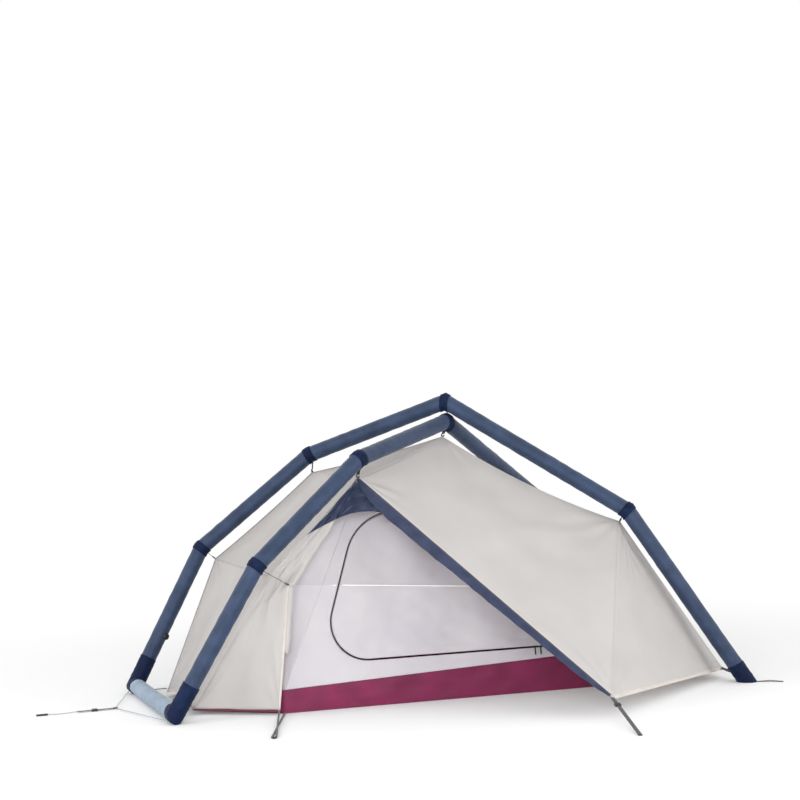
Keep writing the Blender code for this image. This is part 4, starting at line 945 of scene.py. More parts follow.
@dataclass
class Blend:
    """A cloth between four lines: the sum of the two straight blends less the blend of the corners.

    Left and right run with v, low and high with u. The cloth is drawn in at its middle, folds run down it
    and pulls fan out of its held corners; all three die out at the edges.
    """

    left: Array
    right: Array
    low: Array | None = None
    high: Array | None = None
    draw: float = 0.0
    folds: float = 0.0
    depth: float = 0.0035
    pulls: tuple[tuple[float, float, float, float], ...] = ()
    crease: float = 0.0010
    crease_size: tuple[float, float, float] = (0.22, 0.16, 0.30)
    seed: int = 1

    def __post_init__(self) -> None:
        """Draws the missing lines straight, and finds which way the outside lies."""
        if self.low is None:
            self.low = edge(self.left[0], self.right[0])
        if self.high is None:
            self.high = edge(self.left[-1], self.right[-1])
        self.turn = 1.0
        share = (np.arange(6) + 0.5) / 6
        u, v = np.meshgrid(share, share)
        self.turn = 1.0 if (self.normal(u, v) * (self.plain(u, v) - MIDDLE)).sum() > 0 else -1.0

    def plain(self, u: Array, v: Array) -> Array:
        """The places of the blend at shares u and v."""
        across, down = u[..., None], v[..., None]
        sides = (1 - across) * along(self.left, v) + across * along(self.right, v)
        ends = (1 - down) * along(self.low, u) + down * along(self.high, u)
        corners = ((1 - across) * (1 - down) * self.left[0] + across * (1 - down) * self.right[0]
                   + (1 - across) * down * self.left[-1] + across * down * self.right[-1])
        return sides + ends - corners

    def normal(self, u: Array, v: Array) -> Array:
        """The unit normal that points out of the tent."""
        step = 1e-3
        across = self.plain(np.minimum(u + step, 1.0), v) - self.plain(np.maximum(u - step, 0.0), v)
        down = self.plain(u, np.minimum(v + step, 1.0)) - self.plain(u, np.maximum(v - step, 0.0))
        return unit(np.cross(across, down)) * self.turn

    def places(self, u: Array, v: Array, lift: float = 0.0) -> Array:
        """The cloth's places, with its draw, folds, pulls and creases.

        Args:
            u: shares across.
            v: shares down.
            lift: how far the cloth lies outside the blend.

        Returns:
            The places.
        """
        flat = self.plain(u, v)
        inside = np.clip(4 * u * (1 - u), 0, 1) * np.clip(4 * v * (1 - v), 0, 1)
        offset = lift - self.draw * inside
        if self.folds:
            offset = offset + self.depth * np.sin(2 * math.pi * self.folds * u + math.pi * v) * inside
        rim = np.clip(np.minimum(np.minimum(u, 1 - u), np.minimum(v, 1 - v)) / 0.05, 0, 1)
        for corner_u, corner_v, reach, deep in self.pulls:
            corner = self.plain(np.array([corner_u]), np.array([corner_v]))[0]
            away = flat - corner
            distance = np.linalg.norm(away, axis=-1)
            angle = np.arctan2(v - corner_v, np.abs(u - corner_u) + 1e-6)
            rays = np.sin(11 * angle + 1.7 * ripple(flat, 0.5, self.seed + 7))
            offset = offset + deep * rays * np.exp(-distance / reach) * rim * np.clip(distance / 0.05, 0, 1)
        offset = offset + self.crease * ripple(flat, self.crease_size, self.seed) * rim
        return flat + self.normal(u, v) * offset[..., None]

    def size(self) -> tuple[float, float, float]:
        """The flat width, length and area of the cloth, from its blend without folds."""
        share = np.linspace(0.0, 1.0, 41)
        u, v = np.meshgrid(share, share)
        grid = self.plain(u, v)
        width = np.linalg.norm(np.diff(grid, axis=1), axis=-1).sum(axis=1).max()
        length = np.linalg.norm(np.diff(grid, axis=0), axis=-1).sum(axis=0).max()
        across, down = np.diff(grid, axis=1)[:-1], np.diff(grid, axis=0)[:, :-1]
        return float(width), float(length), float(np.linalg.norm(np.cross(across, down), axis=-1).sum())


def cloth_grid(name: str, cloth: Blend, across: int, down: int) -> bpy.types.Object:
    """Lays a grid on a cloth's blend, with its flat places in metres.

    Args:
        name: the piece's name.
        cloth: the blend.
        across: columns of quads.
        down: rows of quads.

    Returns:
        The open cloth.
    """
    u, v = np.meshgrid(np.linspace(0.0, 1.0, across + 1), np.linspace(0.0, 1.0, down + 1))
    width, length, _ = cloth.size()
    return grid_object(name, cloth.places(u, v), np.stack([u * width, v * length], axis=-1))


def declare_sheet(obj: bpy.types.Object, size: tuple[float, float, float]) -> None:
    """Logs a cloth's flat width, length and area.

    Args:
        obj: the cloth.
        size: width, length and area.
    """
    width, length, area = size
    area = min(max(area, 0.3 * width * length), width * length)
    log.info("%s is cut from %.2f x %.2f m, %.3f square metres", obj.name, width, length, area)


@dataclass
class FlySheet:
    """The fly: eight sewn panels, the seam tapes between them and the bound hems."""

    layout: Layout
    finishes: Finishes
    thickness: float = 0.0007
    ridge_sag: float = 0.008
    crown_ridge_sag: float = 0.030
    hem_rise: float = 0.030
    draw: float = 0.012
    tape_width: float = 0.011
    porch_hem_width: float = 0.016
    opening_hem_width: float = 0.009
    tape_thickness: float = 0.0010

    def corners(self) -> dict[str, Array]:
        """The fly's corners, by side and name."""
        found = {"crown": self.layout.at("fly_crown"), "porch": np.array(self.layout.porch)}
        for side in ("front", "rear"):
            for name in ("shoulder", "knee", "foot", "bend", "head"):
                found[f"{side}_{name}"] = self.layout.at("fly_" + name, side == "front")
            for name in ("hem_foot", "hem_head", "edge_knee", "gusset_foot"):
                found[f"{side}_{name}"] = self.layout.at(name, side == "front")
        return found

    def line(self, *names: str, sag: float | Sequence[float] = 0.0, steps: int = 24) -> Array:
        """A line between named corners of the fly, straight or sagging."""
        at = self.corners()
        return edge(*(at[name] for name in names), sag=sag, steps=steps)

    def main_panel(self) -> Blend:
        """The large front panel, from the opening's edge to the crown ridge."""
        return Blend(self.line("front_shoulder", "porch", steps=60),
                     self.line("crown", "front_bend", sag=self.crown_ridge_sag, steps=60),
                     self.line("front_shoulder", "crown", sag=self.ridge_sag, steps=60),
                     self.line("porch", "front_bend", sag=self.ridge_sag, steps=60),
                     draw=self.draw, folds=2.0, depth=0.0045, seed=3, crease=0.0016,
                     pulls=((0.0, 0.0, 0.16, 0.0050), (1.0, 0.0, 0.14, 0.0045), (1.0, 1.0, 0.20, 0.0050),
                            (0.0, 1.0, 0.22, 0.0040)))

    def foot_panel(self) -> Blend:
        """The front panel of the foot end, from the frame's ridge to the opening's edge."""
        return Blend(self.line("front_shoulder", "front_knee", "front_foot", sag=[self.ridge_sag, 0.0],
                               steps=60),
                     self.line("front_shoulder", "front_gusset_foot", "front_edge_knee",
                               "front_hem_foot", steps=40),
                     high=self.line("front_foot", "front_hem_foot", steps=40), folds=3.0, seed=5,
                     crease=0.0018, crease_size=(0.10, 0.10, 0.34),
                     pulls=((1.0, 1.0, 0.16, 0.0045), (0.0, 1.0, 0.14, 0.0040), (0.5, 0.55, 0.08, 0.0030)))

    def panels(self) -> dict[str, tuple[Blend, int, int, tuple[str, ...]]]:
        """Each panel's blend, its grid and what holds it."""
        lines = {}
        for side in ("front", "rear"):
            lines[side, "thigh"] = self.line(side + "_knee", side + "_shoulder", "crown",
                                             sag=[self.ridge_sag] * 2, steps=40)
            lines[side, "shin"] = self.line(side + "_knee", side + "_foot", steps=40)
            lines[side, "head"] = self.line("crown", side + "_bend", side + "_head",
                                            sag=[self.crown_ridge_sag, 0.0], steps=40)
        foot_hem = self.line("rear_foot", "front_foot", sag=-self.hem_rise, steps=40)
        head_hem = self.line("rear_head", "front_head", sag=-self.hem_rise, steps=40)
        top = self.line("rear_foot", "rear_knee", "rear_shoulder", "crown", "rear_bend",
                        sag=[0.0, self.ridge_sag, self.ridge_sag, self.crown_ridge_sag], steps=40)
        hem = self.line("rear_foot", "rear_hem_foot", "rear_hem_head", steps=40)
        ends = (((0.0, 0.0, 0.12, 0.004), (1.0, 0.0, 0.12, 0.004), (0.0, 1.0, 0.14, 0.004),
                 (1.0, 1.0, 0.14, 0.004)))
        front_knees = ("collar_front_knee", "collar_rear_knee")
        bends = ("collar_front_bend", "collar_rear_bend")
        return {
            "fly_foot_end": (Blend(lines["rear", "shin"], lines["front", "shin"], high=foot_hem, folds=2.0,
                                   seed=11, pulls=ends), 70, 70, front_knees),
            "fly_foot_roof": (Blend(lines["rear", "thigh"], lines["front", "thigh"], folds=1.0, seed=12,
                                    pulls=ends), 70, 90, front_knees),
            "fly_head_end": (Blend(lines["rear", "head"], lines["front", "head"], high=head_hem, folds=1.0,
                                   draw=self.draw, seed=13, pulls=ends), 90, 110, bends),
            "fly_front_main": (self.main_panel(), 110, 110, ("collar_front_shoulder", "collar_front_bend")),
            "fly_front_corner": (Blend(self.line("front_bend", "porch", sag=self.ridge_sag, steps=60),
                                       self.line("front_bend", "front_head", steps=60), folds=1.0, seed=15,
                                       pulls=((0.5, 0.0, 0.16, 0.004), (0.0, 1.0, 0.16, 0.004),
                                              (1.0, 1.0, 0.14, 0.004))), 70, 80, ("collar_front_bend",)),
            "fly_front_foot": (self.foot_panel(), 60, 100, ("collar_front_knee",)),
            "fly_rear_side": (Blend(top, hem, high=self.line("rear_bend", "rear_hem_head"), draw=self.draw,
                                    folds=2.0, seed=17,
                                    pulls=((0.0, 0.25, 0.1, 0.004), (0.0, 0.5, 0.12, 0.004),
                                           (0.0, 1.0, 0.12, 0.004))), 70, 160,
                              ("collar_rear_knee", "collar_rear_bend")),
            "fly_rear_corner": (Blend(self.line("rear_bend", "rear_head", steps=40),
                                      self.line("rear_bend", "rear_hem_head", steps=40), folds=1.0, seed=18,
                                      pulls=((0.5, 0.0, 0.14, 0.004),)), 50, 60, ("collar_rear_bend",)),
        }

    def tape(self, name: str, line: Array, lean: Array, width: float, kind: str = "hem") -> None:
        """Sews a flat tape along a line of the fly, its face turned to the lean."""
        across, up = rails(line, lean)
        obj = sweep(name, line + up * self.thickness, strap_section(width, self.tape_thickness), across, up)
        dress(obj, self.finishes[kind])

    def build_tapes(self) -> None:
        """Builds the felled seams on the ridges and the bound hems."""
        for side, sign in (("front", -1.0), ("rear", 1.0)):
            ridge = self.line(side + "_foot", side + "_knee", side + "_shoulder", "crown",
                              side + "_bend", side + "_head",
                              sag=[0.0, self.ridge_sag, self.ridge_sag, self.crown_ridge_sag, 0.0], steps=24)
            flat = np.ones(len(ridge))
            lean = unit(np.stack([ridge[:, 0] * 0.4, sign * 0.6 * flat, 0.7 * flat], axis=-1))
            self.tape(f"seam_{side}_ridge", ridge, lean, self.tape_width, "fly")
        out = np.array((0.0, -0.8, 0.6))
        self.tape("seam_porch_rise", self.line("porch", "front_bend", sag=self.ridge_sag, steps=40), out,
                  self.tape_width, "fly")
        self.tape("seam_rear_rise", self.line("rear_bend", "rear_hem_head", steps=30), out * (1, -1, 1),
                  self.tape_width, "fly")
        self.tape("hem_foot_end", self.line("rear_foot", "front_foot", sag=-self.hem_rise), (-1.0, 0.0, 0.3),
                  self.tape_width)
        self.tape("hem_head_end", self.line("rear_head", "front_head", sag=-self.hem_rise), (1.0, 0.0, 0.3),
                  self.tape_width)
        self.tape("hem_porch", self.line("porch", "front_head", steps=40), (0.3, -0.7, 0.5),
                  self.porch_hem_width)
        self.tape("hem_front_foot", self.line("front_foot", "front_hem_foot"), (-0.5, -0.8, 0.2),
                  self.tape_width, "binding")
        self.tape("hem_rear", self.line("rear_foot", "rear_hem_foot", "rear_hem_head", "rear_head"),
                  (0.0, 0.9, 0.3), self.tape_width)
        self.tape("hem_opening", self.line("front_gusset_foot", "front_edge_knee", "front_hem_foot"),
                  (-0.3, -0.9, 0.3), self.opening_hem_width)

    def build(self) -> None:
        """Builds the panels, tapes and hems."""
        for name, (cloth, across, down, held_by) in self.panels().items():
            obj = cloth_grid(name + "_cloth", cloth, across, down)
            thicken(obj, self.thickness)
            dress(obj, self.finishes["fly"], [name])
            declare_sheet(obj, cloth.size())
        self.build_tapes()


@dataclass
class Doorway:
    """What lines the fly's opening: the storm flap over its zip, the peak gusset and the rolled door."""

    fly: FlySheet
    finishes: Finishes
    flap_lap: float = 0.007
    flap_thickness: float = 0.0012
    flap_profile: tuple[tuple[float, float], ...] = ((0.0, 0.0013), (0.006, 0.0052), (0.012, 0.0064),
                                                     (0.020, 0.0056), (0.035, 0.0020), (0.070, -0.0060))
    flap_hang: tuple[tuple[float, float], ...] = ((0.0, 0.012), (0.05, 0.040), (0.14, 0.060), (0.27, 0.059),
                                                  (0.50, 0.049), (0.75, 0.038), (0.90, 0.030), (1.0, 0.014))
    zip_bead: float = 0.0040
    piping: tuple[float, float] = (0.0060, 0.0018)
    piping_inset: float = 0.003
    gusset_reach_share: float = 0.215
    gusset_top_share: float = 0.16
    gusset_sag: float = 0.040
    gusset_far_gap: float = 0.024
    patch_low: tuple[float, float] = (0.285, 0.333)
    patch_lift: float = 0.0042
    patch_flat: tuple[float, float, float] = (0.07, 0.26, 0.0083)
    roll_radius: float = 0.0118
    roll_seat: float = 0.0036
    roll_out_share: float = 0.80
    roll_span: tuple[float, float] = (0.36, 0.85)
    roll_bump: float = 0.07

    def build_flap(self) -> None:
        """Builds the storm flap: sewn inside the opening's edge, it bows over the zip and hangs past it."""
        at = self.fly.corners()
        top, porch = at["front_shoulder"], at["porch"]
        length = float(np.linalg.norm(porch - top))
        line = (porch - top) / length
        ways = [way - line * (way @ line) for way in (at["front_bend"] - porch, at["crown"] - top)]
        side = unit(unit(ways[0]) + unit(ways[1]))
        out = np.cross(line, side)
        v = np.linspace(0.004, 0.992, 170)[:, None]
        hang = smooth_line(self.flap_hang, 12)
        profile = smooth_line(self.flap_profile, 12)
        reach = (self.flap_lap + np.interp(v, hang[:, 0], hang[:, 1])) * np.linspace(0.0, 1.0, 15)[None]
        lift = np.interp(reach, profile[:, 0], profile[:, 1])
        middle = top + line * length * v[..., None]
        places = middle + side * (self.flap_lap - reach)[..., None] + out * lift[..., None]
        places += out * (0.0009 * ripple(places, 0.06, 41) * np.clip(reach / 0.02, 0, 1))[..., None]
        obj = grid_object("storm_flap_cloth", places, np.stack([reach, v * length + 0 * reach], axis=-1))
        thicken(obj, self.flap_thickness)
        dress(obj, self.finishes["flap"], ["storm_flap"])
        width = self.flap_lap + float(hang[:, 1].max())
        declare_sheet(obj, (width, length, float(np.ptp(reach, axis=1).mean()) * length))
        line = places[:, 0] + out * self.flap_thickness
        piping = sweep_on("storm_flap_piping", line + side * self.piping_inset, out,
                          strap_section(*self.piping))
        dress(piping, self.finishes["tape"])

    def build_patch(self) -> None:
        """Builds the reinforcement sewn over the top of the foot panel, from the ridge to the opening."""
        cloth = self.fly.foot_panel()
        u = np.linspace(0.0, 0.995, 30)[None]
        low = self.patch_low[0] + (self.patch_low[1] - self.patch_low[0]) * u ** 1.4
        v = low * np.linspace(0.02, 1.0, 60)[:, None]
        width, length, _ = cloth.size()
        grid_u = np.broadcast_to(u, v.shape)
        obj = grid_object("peak_patch_cloth", cloth.places(grid_u, v, self.patch_lift),
                          np.stack([grid_u * width, v * length], axis=-1))
        thicken(obj, self.flap_thickness)
        dress(obj, self.finishes["flap"])
        declare_sheet(obj, self.patch_flat)

    def build_zip(self) -> None:
        """Builds the coil of the fly's zip under the flap's edge."""
        low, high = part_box("fly_zip")
        at = self.fly.corners()
        line = unit(at["porch"] - at["front_shoulder"])
        centre = (np.array(low) + np.array(high)) / 2
        half = np.linalg.norm(np.array(high) - np.array(low)) / 2 - self.zip_bead
        path = centre + line * np.linspace(-half, half, 160)[:, None]
        coil = sweep_on("fly_zip_coil", path, UP, round_section(self.zip_bead / 2))
        dress(coil, self.finishes["coil"], ["fly_zip"])

    def build_gusset(self) -> None:
        """Builds the gusset under the peak, with wrinkles that run out of its corners."""
        at = self.fly.corners()
        right = along(self.fly.main_panel().left, np.linspace(0.0, self.gusset_reach_share, 40))
        left = edge(at["front_shoulder"], at["front_gusset_foot"], steps=39)
        hollow = edge(left[-1], right[-1], sag=-self.gusset_sag, steps=40)
        cloth = Blend(left, right, high=hollow, seed=23, crease=0.0022, crease_size=(0.05, 0.05, 0.035),
                      pulls=((1.0, 1.0, 0.12, 0.0035), (0.0, 1.0, 0.12, 0.0035)))
        v = np.linspace(self.gusset_top_share, 1.0, 51)[:, None]
        span = np.linalg.norm(along(cloth.left, v[:, 0]) - along(cloth.right, v[:, 0]), axis=1)[:, None]
        u = 0.01 + np.linspace(0.0, 1.0, 51)[None] * (0.99 - self.gusset_far_gap / span)
        v = np.broadcast_to(v, u.shape)
        obj = grid_object("peak_gusset_cloth", cloth.places(u, v), np.stack([u * span, v * 0.3], axis=-1))
        thicken(obj, self.flap_thickness)
        dress(obj, self.finishes["flap"], ["peak_gusset"])
        declare_sheet(obj, cloth.size())

    def build_roll(self) -> None:
        """Builds the fly's door rolled up along the opening's inner edge: a soft roll with a lap."""
        cloth = self.fly.foot_panel()
        v = np.linspace(*self.roll_span, 90)
        rim = along(cloth.right, v)
        inward = unit(along(cloth.left, v) - rim)
        radius = self.roll_radius + self.roll_seat
        path = rim - inward * self.roll_radius * self.roll_out_share
        path = path - cloth.normal(np.ones(len(v)), v) * radius * math.sqrt(1 - self.roll_out_share ** 2)
        ends = np.minimum(np.linspace(0, 1, len(v)), np.linspace(1, 0, len(v)))
        bumps = 1 + self.roll_bump * np.sin(np.linspace(0.0, 9 * math.pi, len(v)))
        girth = np.minimum(1.0, 0.55 + 6.0 * ends) * bumps
        side, up = rails(path, UP)
        turn = np.linspace(0.0, 2 * math.pi, 28, endpoint=False)
        lap = 1.0 + 0.10 * (turn / (2 * math.pi) - 0.5) + 0.03 * np.sin(5 * turn)
        section = np.stack([np.cos(turn) * lap, np.sin(turn) * lap], axis=-1) * self.roll_radius
        obj = sweep("rolled_door_cloth", path, section, side, up, girth)
        dress(obj, self.finishes["fly"], ["rolled_door"])

    def build(self) -> None:
        """Builds the doorway."""
        self.build_flap()
        self.build_patch()
        self.build_zip()
        self.build_gusset()
        self.build_roll()


@dataclass
class InnerTent:
    """The inner tent: the front wall with its zipped door, the roof, the rear wall and the two ends."""

    layout: Layout
    finishes: Finishes
    thickness: float = 0.0006
    cloth_seam: float = 0.0002
    wall_seat: float = 0.0006
    door_spots: tuple[tuple[float, float], ...] = ((0.400, 0.187), (-0.720, 0.187), (-0.504, 0.789),
                                                   (0.205, 0.655))
    door_radii: tuple[float, ...] = (0.030, 0.146, 0.213, 0.030)
    door_gap: float = 0.0074
    wall_ripple: float = 0.0022
    door_ripples: tuple[float, float] = (0.0050, 0.0008)
    hinge_gap: float = 0.0014
    zip_width: float = 0.0034
    net_low: float = 0.4385
    net_slope: float = 0.0706
    net_seam_x: tuple[float, float, float, float] = (-0.626, -0.606, 0.288, 0.318)
    net_seam_lift: float = 0.0062
    net_seam: tuple[float, float] = (0.005, 0.0008)
    foot_rise: float = 0.012
    head_rise: float = 0.030
    clip_width: float = 0.006
    clip_thickness: float = 0.0016

    def plane(self) -> tuple[Array, Array, Array, Array]:
        """The front wall's plane: a point, the run along its foot, its rise and its outer normal."""
        corner, waist = self.layout.at("tub_corner"), self.layout.at("tub_waist")
        run = unit(waist - corner)
        normal = unit(np.cross(run, self.layout.at("inner_shoulder") - corner))
        return corner, run, np.cross(normal, run), normal

    def on_wall(self, x: float, z: float) -> Array:
        """The place on the front wall with the given x and z, as shares of its run and rise."""
        corner, run, rise, normal = self.plane()
        y = corner[1] - ((x - corner[0]) * normal[0] + (z - corner[2]) * normal[2]) / normal[1]
        away = np.array((x, y, z)) - corner
        return np.array((away @ run, away @ rise))

    def lifted(self, flat: Array, offset: Array | float = 0.0) -> Array:
        """Flat places on the wall, as places in the tent, set out by an offset."""
        corner, run, rise, normal = self.plane()
        out = np.asarray(offset)
        out = out[..., None] if out.ndim else out
        return corner + flat[..., :1] * run + flat[..., 1:] * rise + out * normal

    def outline(self, corners: Array, radii: Sequence[float], steps: int = 16) -> Array:
        """A closed outline whose corners are arcs of the given radii, in order."""
        count, found = len(corners), []
        for index in range(count):
            corner, radius = corners[index], radii[index]
            before = unit(corners[index - 1] - corner)
            after = unit(corners[(index + 1) % count] - corner)
            half = math.acos(float(np.clip(before @ after, -1, 1))) / 2
            centre = corner + unit(before + after) * radius / math.sin(half)
            first = corner + before * radius / math.tan(half) - centre
            last = corner + after * radius / math.tan(half) - centre
            swing = math.atan2(first[0] * last[1] - first[1] * last[0], float(first @ last))
            angle = np.linspace(0.0, swing, steps + 1)
            found.append(centre + np.stack([first[0] * np.cos(angle) - first[1] * np.sin(angle),
                                            first[0] * np.sin(angle) + first[1] * np.cos(angle)], axis=-1))
        return np.vstack(found)

    def moved_out(self, corners: Array, gaps: Sequence[float]) -> Array:
        """Corners of an outline whose side i, from corner i to the next, is moved outwards by gap i."""
        following = np.roll(corners, -1, axis=0)
        runs = unit(following - corners)
        out = np.stack([runs[:, 1], -runs[:, 0]], axis=-1)
        out *= np.sign(((corners - corners.mean(axis=0)) * out).sum(axis=1))[:, None]
        starts = corners + out * np.asarray(gaps)[:, None]
        found = []
        for index in range(len(corners)):
            one, two = starts[index - 1], starts[index]
            run_one, run_two = runs[index - 1], runs[index]
            cross = run_one[0] * run_two[1] - run_one[1] * run_two[0]
            gap = two - one
            found.append(one + run_one * (gap[0] * run_two[1] - gap[1] * run_two[0]) / cross)
        return np.array(found)

    def resampled(self, outline: Array, centre: Array, turns: Array) -> Array:
        """The outline's points at the given turns round a centre, so that two outlines face each other."""
        away = outline - centre
        angle = np.unwrap(np.arctan2(away[:, 1], away[:, 0]))
        if angle[-1] < angle[0]:
            angle, away = angle[::-1], away[::-1]
        angle = np.append(angle, angle[0] + 2 * math.pi)
        away = np.vstack([away, away[:1]])
        base = angle[0]
        at = base + np.mod(turns - base, 2 * math.pi)
        return centre + np.stack([np.interp(at, angle, away[:, axis]) for axis in (0, 1)], axis=-1)

    def build_front(self) -> None:
        """Builds the front wall as rings from the door's hole out to its sewn edges, and the door in it."""
        corners = np.array([self.on_wall(x, z) for x, z in self.door_spots])
        hole = self.outline(self.moved_out(corners, [self.door_gap] * 3 + [self.hinge_gap]),
                            [radius + self.door_gap for radius in self.door_radii])
        layout, (corner, run, rise, _) = self.layout, self.plane()
        marks = [layout.at("tub_corner"), layout.at("tub_waist"), layout.at("inner_bend"),
                 layout.at("inner_shoulder")]
        wall = np.array([((mark - corner) @ run, (mark - corner) @ rise) for mark in marks])
        wall[:2, 1] += self.wall_seat
        ring = np.vstack([a + (b - a) * np.linspace(0, 1, 40, endpoint=False)[:, None]
                          for a, b in zip(wall, np.roll(wall, -1, axis=0))])
        centre = corners.mean(axis=0)
        marks_turn = np.arctan2(*(wall - centre).T[::-1])
        turns = np.sort(np.concatenate([np.linspace(-math.pi, math.pi, 320, endpoint=False), marks_turn]))
        inner, outer = self.resampled(hole, centre, turns), self.resampled(ring, centre, turns)
        share = np.linspace(0.0, 1.0, 26)[:, None, None]
        flat = inner[None] * (1 - share) + outer[None] * share
        places = self.lifted(flat)
        soft = np.minimum(ripple(places, (0.16, 0.16, 0.10), 51) * self.wall_ripple, self.wall_seat / 2)
        soft = soft * np.sin(math.pi * share[..., 0])
        obj = grid_object("inner_front_cloth", self.lifted(flat, soft),
                          np.concatenate([flat, flat[:, :1]], axis=1), wrap=True)
        thicken(obj, self.thickness)
        dress(obj, self.finishes["inner"], ["inner_front"])
        area = abs(self.area(outer) - self.area(inner))
        spread = np.ptp(outer, axis=0)
        declare_sheet(obj, (float(spread[0]), float(spread[1]), area))
        self.build_door(corners, centre)
        self.build_zip(corners)
        self.build_band(wall)

    def area(self, outline: Array) -> float:
        """The area inside a closed flat outline, by the shoelace sum."""
        after = np.roll(outline, -1, axis=0)
        return abs(float((outline[:, 0] * after[:, 1] - outline[:, 1] * after[:, 0]).sum())) / 2

    def build_door(self, corners: Array, centre: Array) -> None:
        """Builds the door as rings about its middle, hanging in faint folds from its zip."""
        outline = self.outline(corners, self.door_radii)
        turns = np.linspace(-math.pi, math.pi, 320, endpoint=False)
        rim = self.resampled(outline, centre, turns)
        share = np.linspace(0.002, 1.0, 60)[:, None, None]
        flat = centre + (rim[None] - centre) * share
        places = self.lifted(flat)
        held = np.clip((1 - share[..., 0]) / 0.12, 0, 1)
        broad, fine = self.door_ripples
        soft = (ripple(places, (0.20, 0.20, 0.34), 53) * broad + ripple(places, 0.07, 54) * fine) * held
        obj = grid_object("inner_door_cloth", self.lifted(flat, soft),
                          np.concatenate([flat, flat[:, :1]], axis=1), wrap=True)
        with editing(obj) as bm:
            middle = [item for item in bm.edges if item.is_boundary and item.calc_length() < 0.001]
            bmesh.ops.holes_fill(bm, edges=middle, sides=0)
        thicken(obj, self.thickness)
        dress(obj, self.finishes["inner"], ["inner_door"], "inner_door")
        spread = np.ptp(rim, axis=0)
        declare_sheet(obj, (float(spread[0]), float(spread[1]), self.area(rim)))

    def build_zip(self, corners: Array) -> None:
        """Builds the coil of the door's zip, round three sides of the door."""
        middle = self.door_gap / 2
        path = self.outline(self.moved_out(corners, [middle] * 4),
                            [radius + middle for radius in self.door_radii], 24)
        low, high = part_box("door_zip")
        places = self.lifted(path)
        kept = (places[:, 0] < high[0] + 0.001) & (places[:, 2] > low[2] - 0.001)
        first = int(np.argmax(~kept))
        order = np.roll(places, -first, axis=0)[np.roll(kept, -first)]
        share = np.linspace(0.0, 1.0, 360)
        run = run_along(order)
        line = np.stack([np.interp(share * run[-1], run, order[:, axis]) for axis in range(3)], axis=-1)
        coil = sweep_on("door_zip_coil", line, self.plane()[3], round_section(self.zip_width / 2, 10))
        dress(coil, self.finishes["coil"], ["door_zip"])

    def build_band(self, wall: Array) -> None:
        """Builds the white tape where the net is sewn to the solid cloth, on the wall and on the door."""
        corner, _, rise, normal = self.plane()
        left = np.interp(self.net_low, [wall[0, 1], wall[3, 1]], [wall[0, 0], wall[3, 0]]) + corner[0]
        right = np.interp(self.net_low, [wall[1, 1], wall[2, 1]], [wall[1, 0], wall[2, 0]]) + corner[0]
        spans = {"net_seam_foot": (left, self.net_seam_x[0], ROOT),
                 "net_seam_door": (self.net_seam_x[1], self.net_seam_x[2], "inner_door"),
                 "net_seam_head": (self.net_seam_x[3], right, ROOT)}
        for name, (first, last, body) in spans.items():
            x = np.linspace(first, last, 60)
            flat = np.array([self.on_wall(at, self.net_low - self.net_slope * at) for at in x])
            seat = self.lifted(flat, np.full(60, self.net_seam_lift))
            tape = sweep(name, seat, strap_section(*self.net_seam), rise, normal)
            dress(tape, self.finishes["seam"], body=body)

    def build_shell(self) -> None:
        """Builds the roof, the rear wall and the two ends, with the webbing clip that hangs the crown."""
        layout, reach = self.layout, self.cloth_seam
        front_shoulder, front_bend = layout.at("inner_shoulder"), layout.at("inner_bend")
        rear_shoulder, rear_bend = layout.at("inner_shoulder", False), layout.at("inner_bend", False)
        crown = np.array(layout.inner_crown)
        side, back = np.array((0.0, reach, 0.0)), np.array((0.0, -reach, 0.0))
        front_top = edge(front_shoulder + side, front_bend + side, steps=48)
        ridge = edge(rear_shoulder + back, crown + back, rear_bend + back)
        roof = Blend(edge(ridge[0], front_top[0]), edge(ridge[-1], front_top[-1]), ridge, front_top, seed=61,
                     crease=0.0012)
        seat = np.array((0.0, 0.0, self.wall_seat))
        rear_low = edge(layout.at("tub_corner", False) + seat, layout.at("tub_waist", False) + seat, steps=48)
        rear_top = edge(rear_shoulder, crown, rear_bend)
        rear = Blend(edge(rear_top[0], rear_low[0]), edge(rear_top[-1], rear_low[-1]), rear_top, rear_low,
                     seed=62, crease=0.0012)
        cloths = {"inner_roof": roof, "inner_rear": rear,
                  "inner_foot": self.end("inner_shoulder", "tub_corner", "inner_knee", "tub_foot",
                                         self.foot_rise, -1.0),
                  "inner_head": self.end("inner_bend", "tub_waist", "", "tub_head", self.head_rise, 1.0)}
        for name, cloth in cloths.items():
            obj = cloth_grid(name + "_cloth", cloth, 70, 70)
            thicken(obj, self.thickness)
            dress(obj, self.finishes["inner"], [name])
            declare_sheet(obj, cloth.size())
        foot = crown + back - (0.0, self.clip_width, 0.0)
        target = layout.at("fly_crown")
        way = unit(target - foot)
        reach = float(np.linalg.norm(target - foot))
        path = foot + way * np.linspace(-self.clip_width, reach - 0.003, 12)[:, None]
        lean, up = rails(path, (1.0, 0.0, 0.0))
        clip = sweep("crown_clip", path, strap_section(self.clip_width, self.clip_thickness), up, lean)
        dress(clip, self.finishes["webbing"])

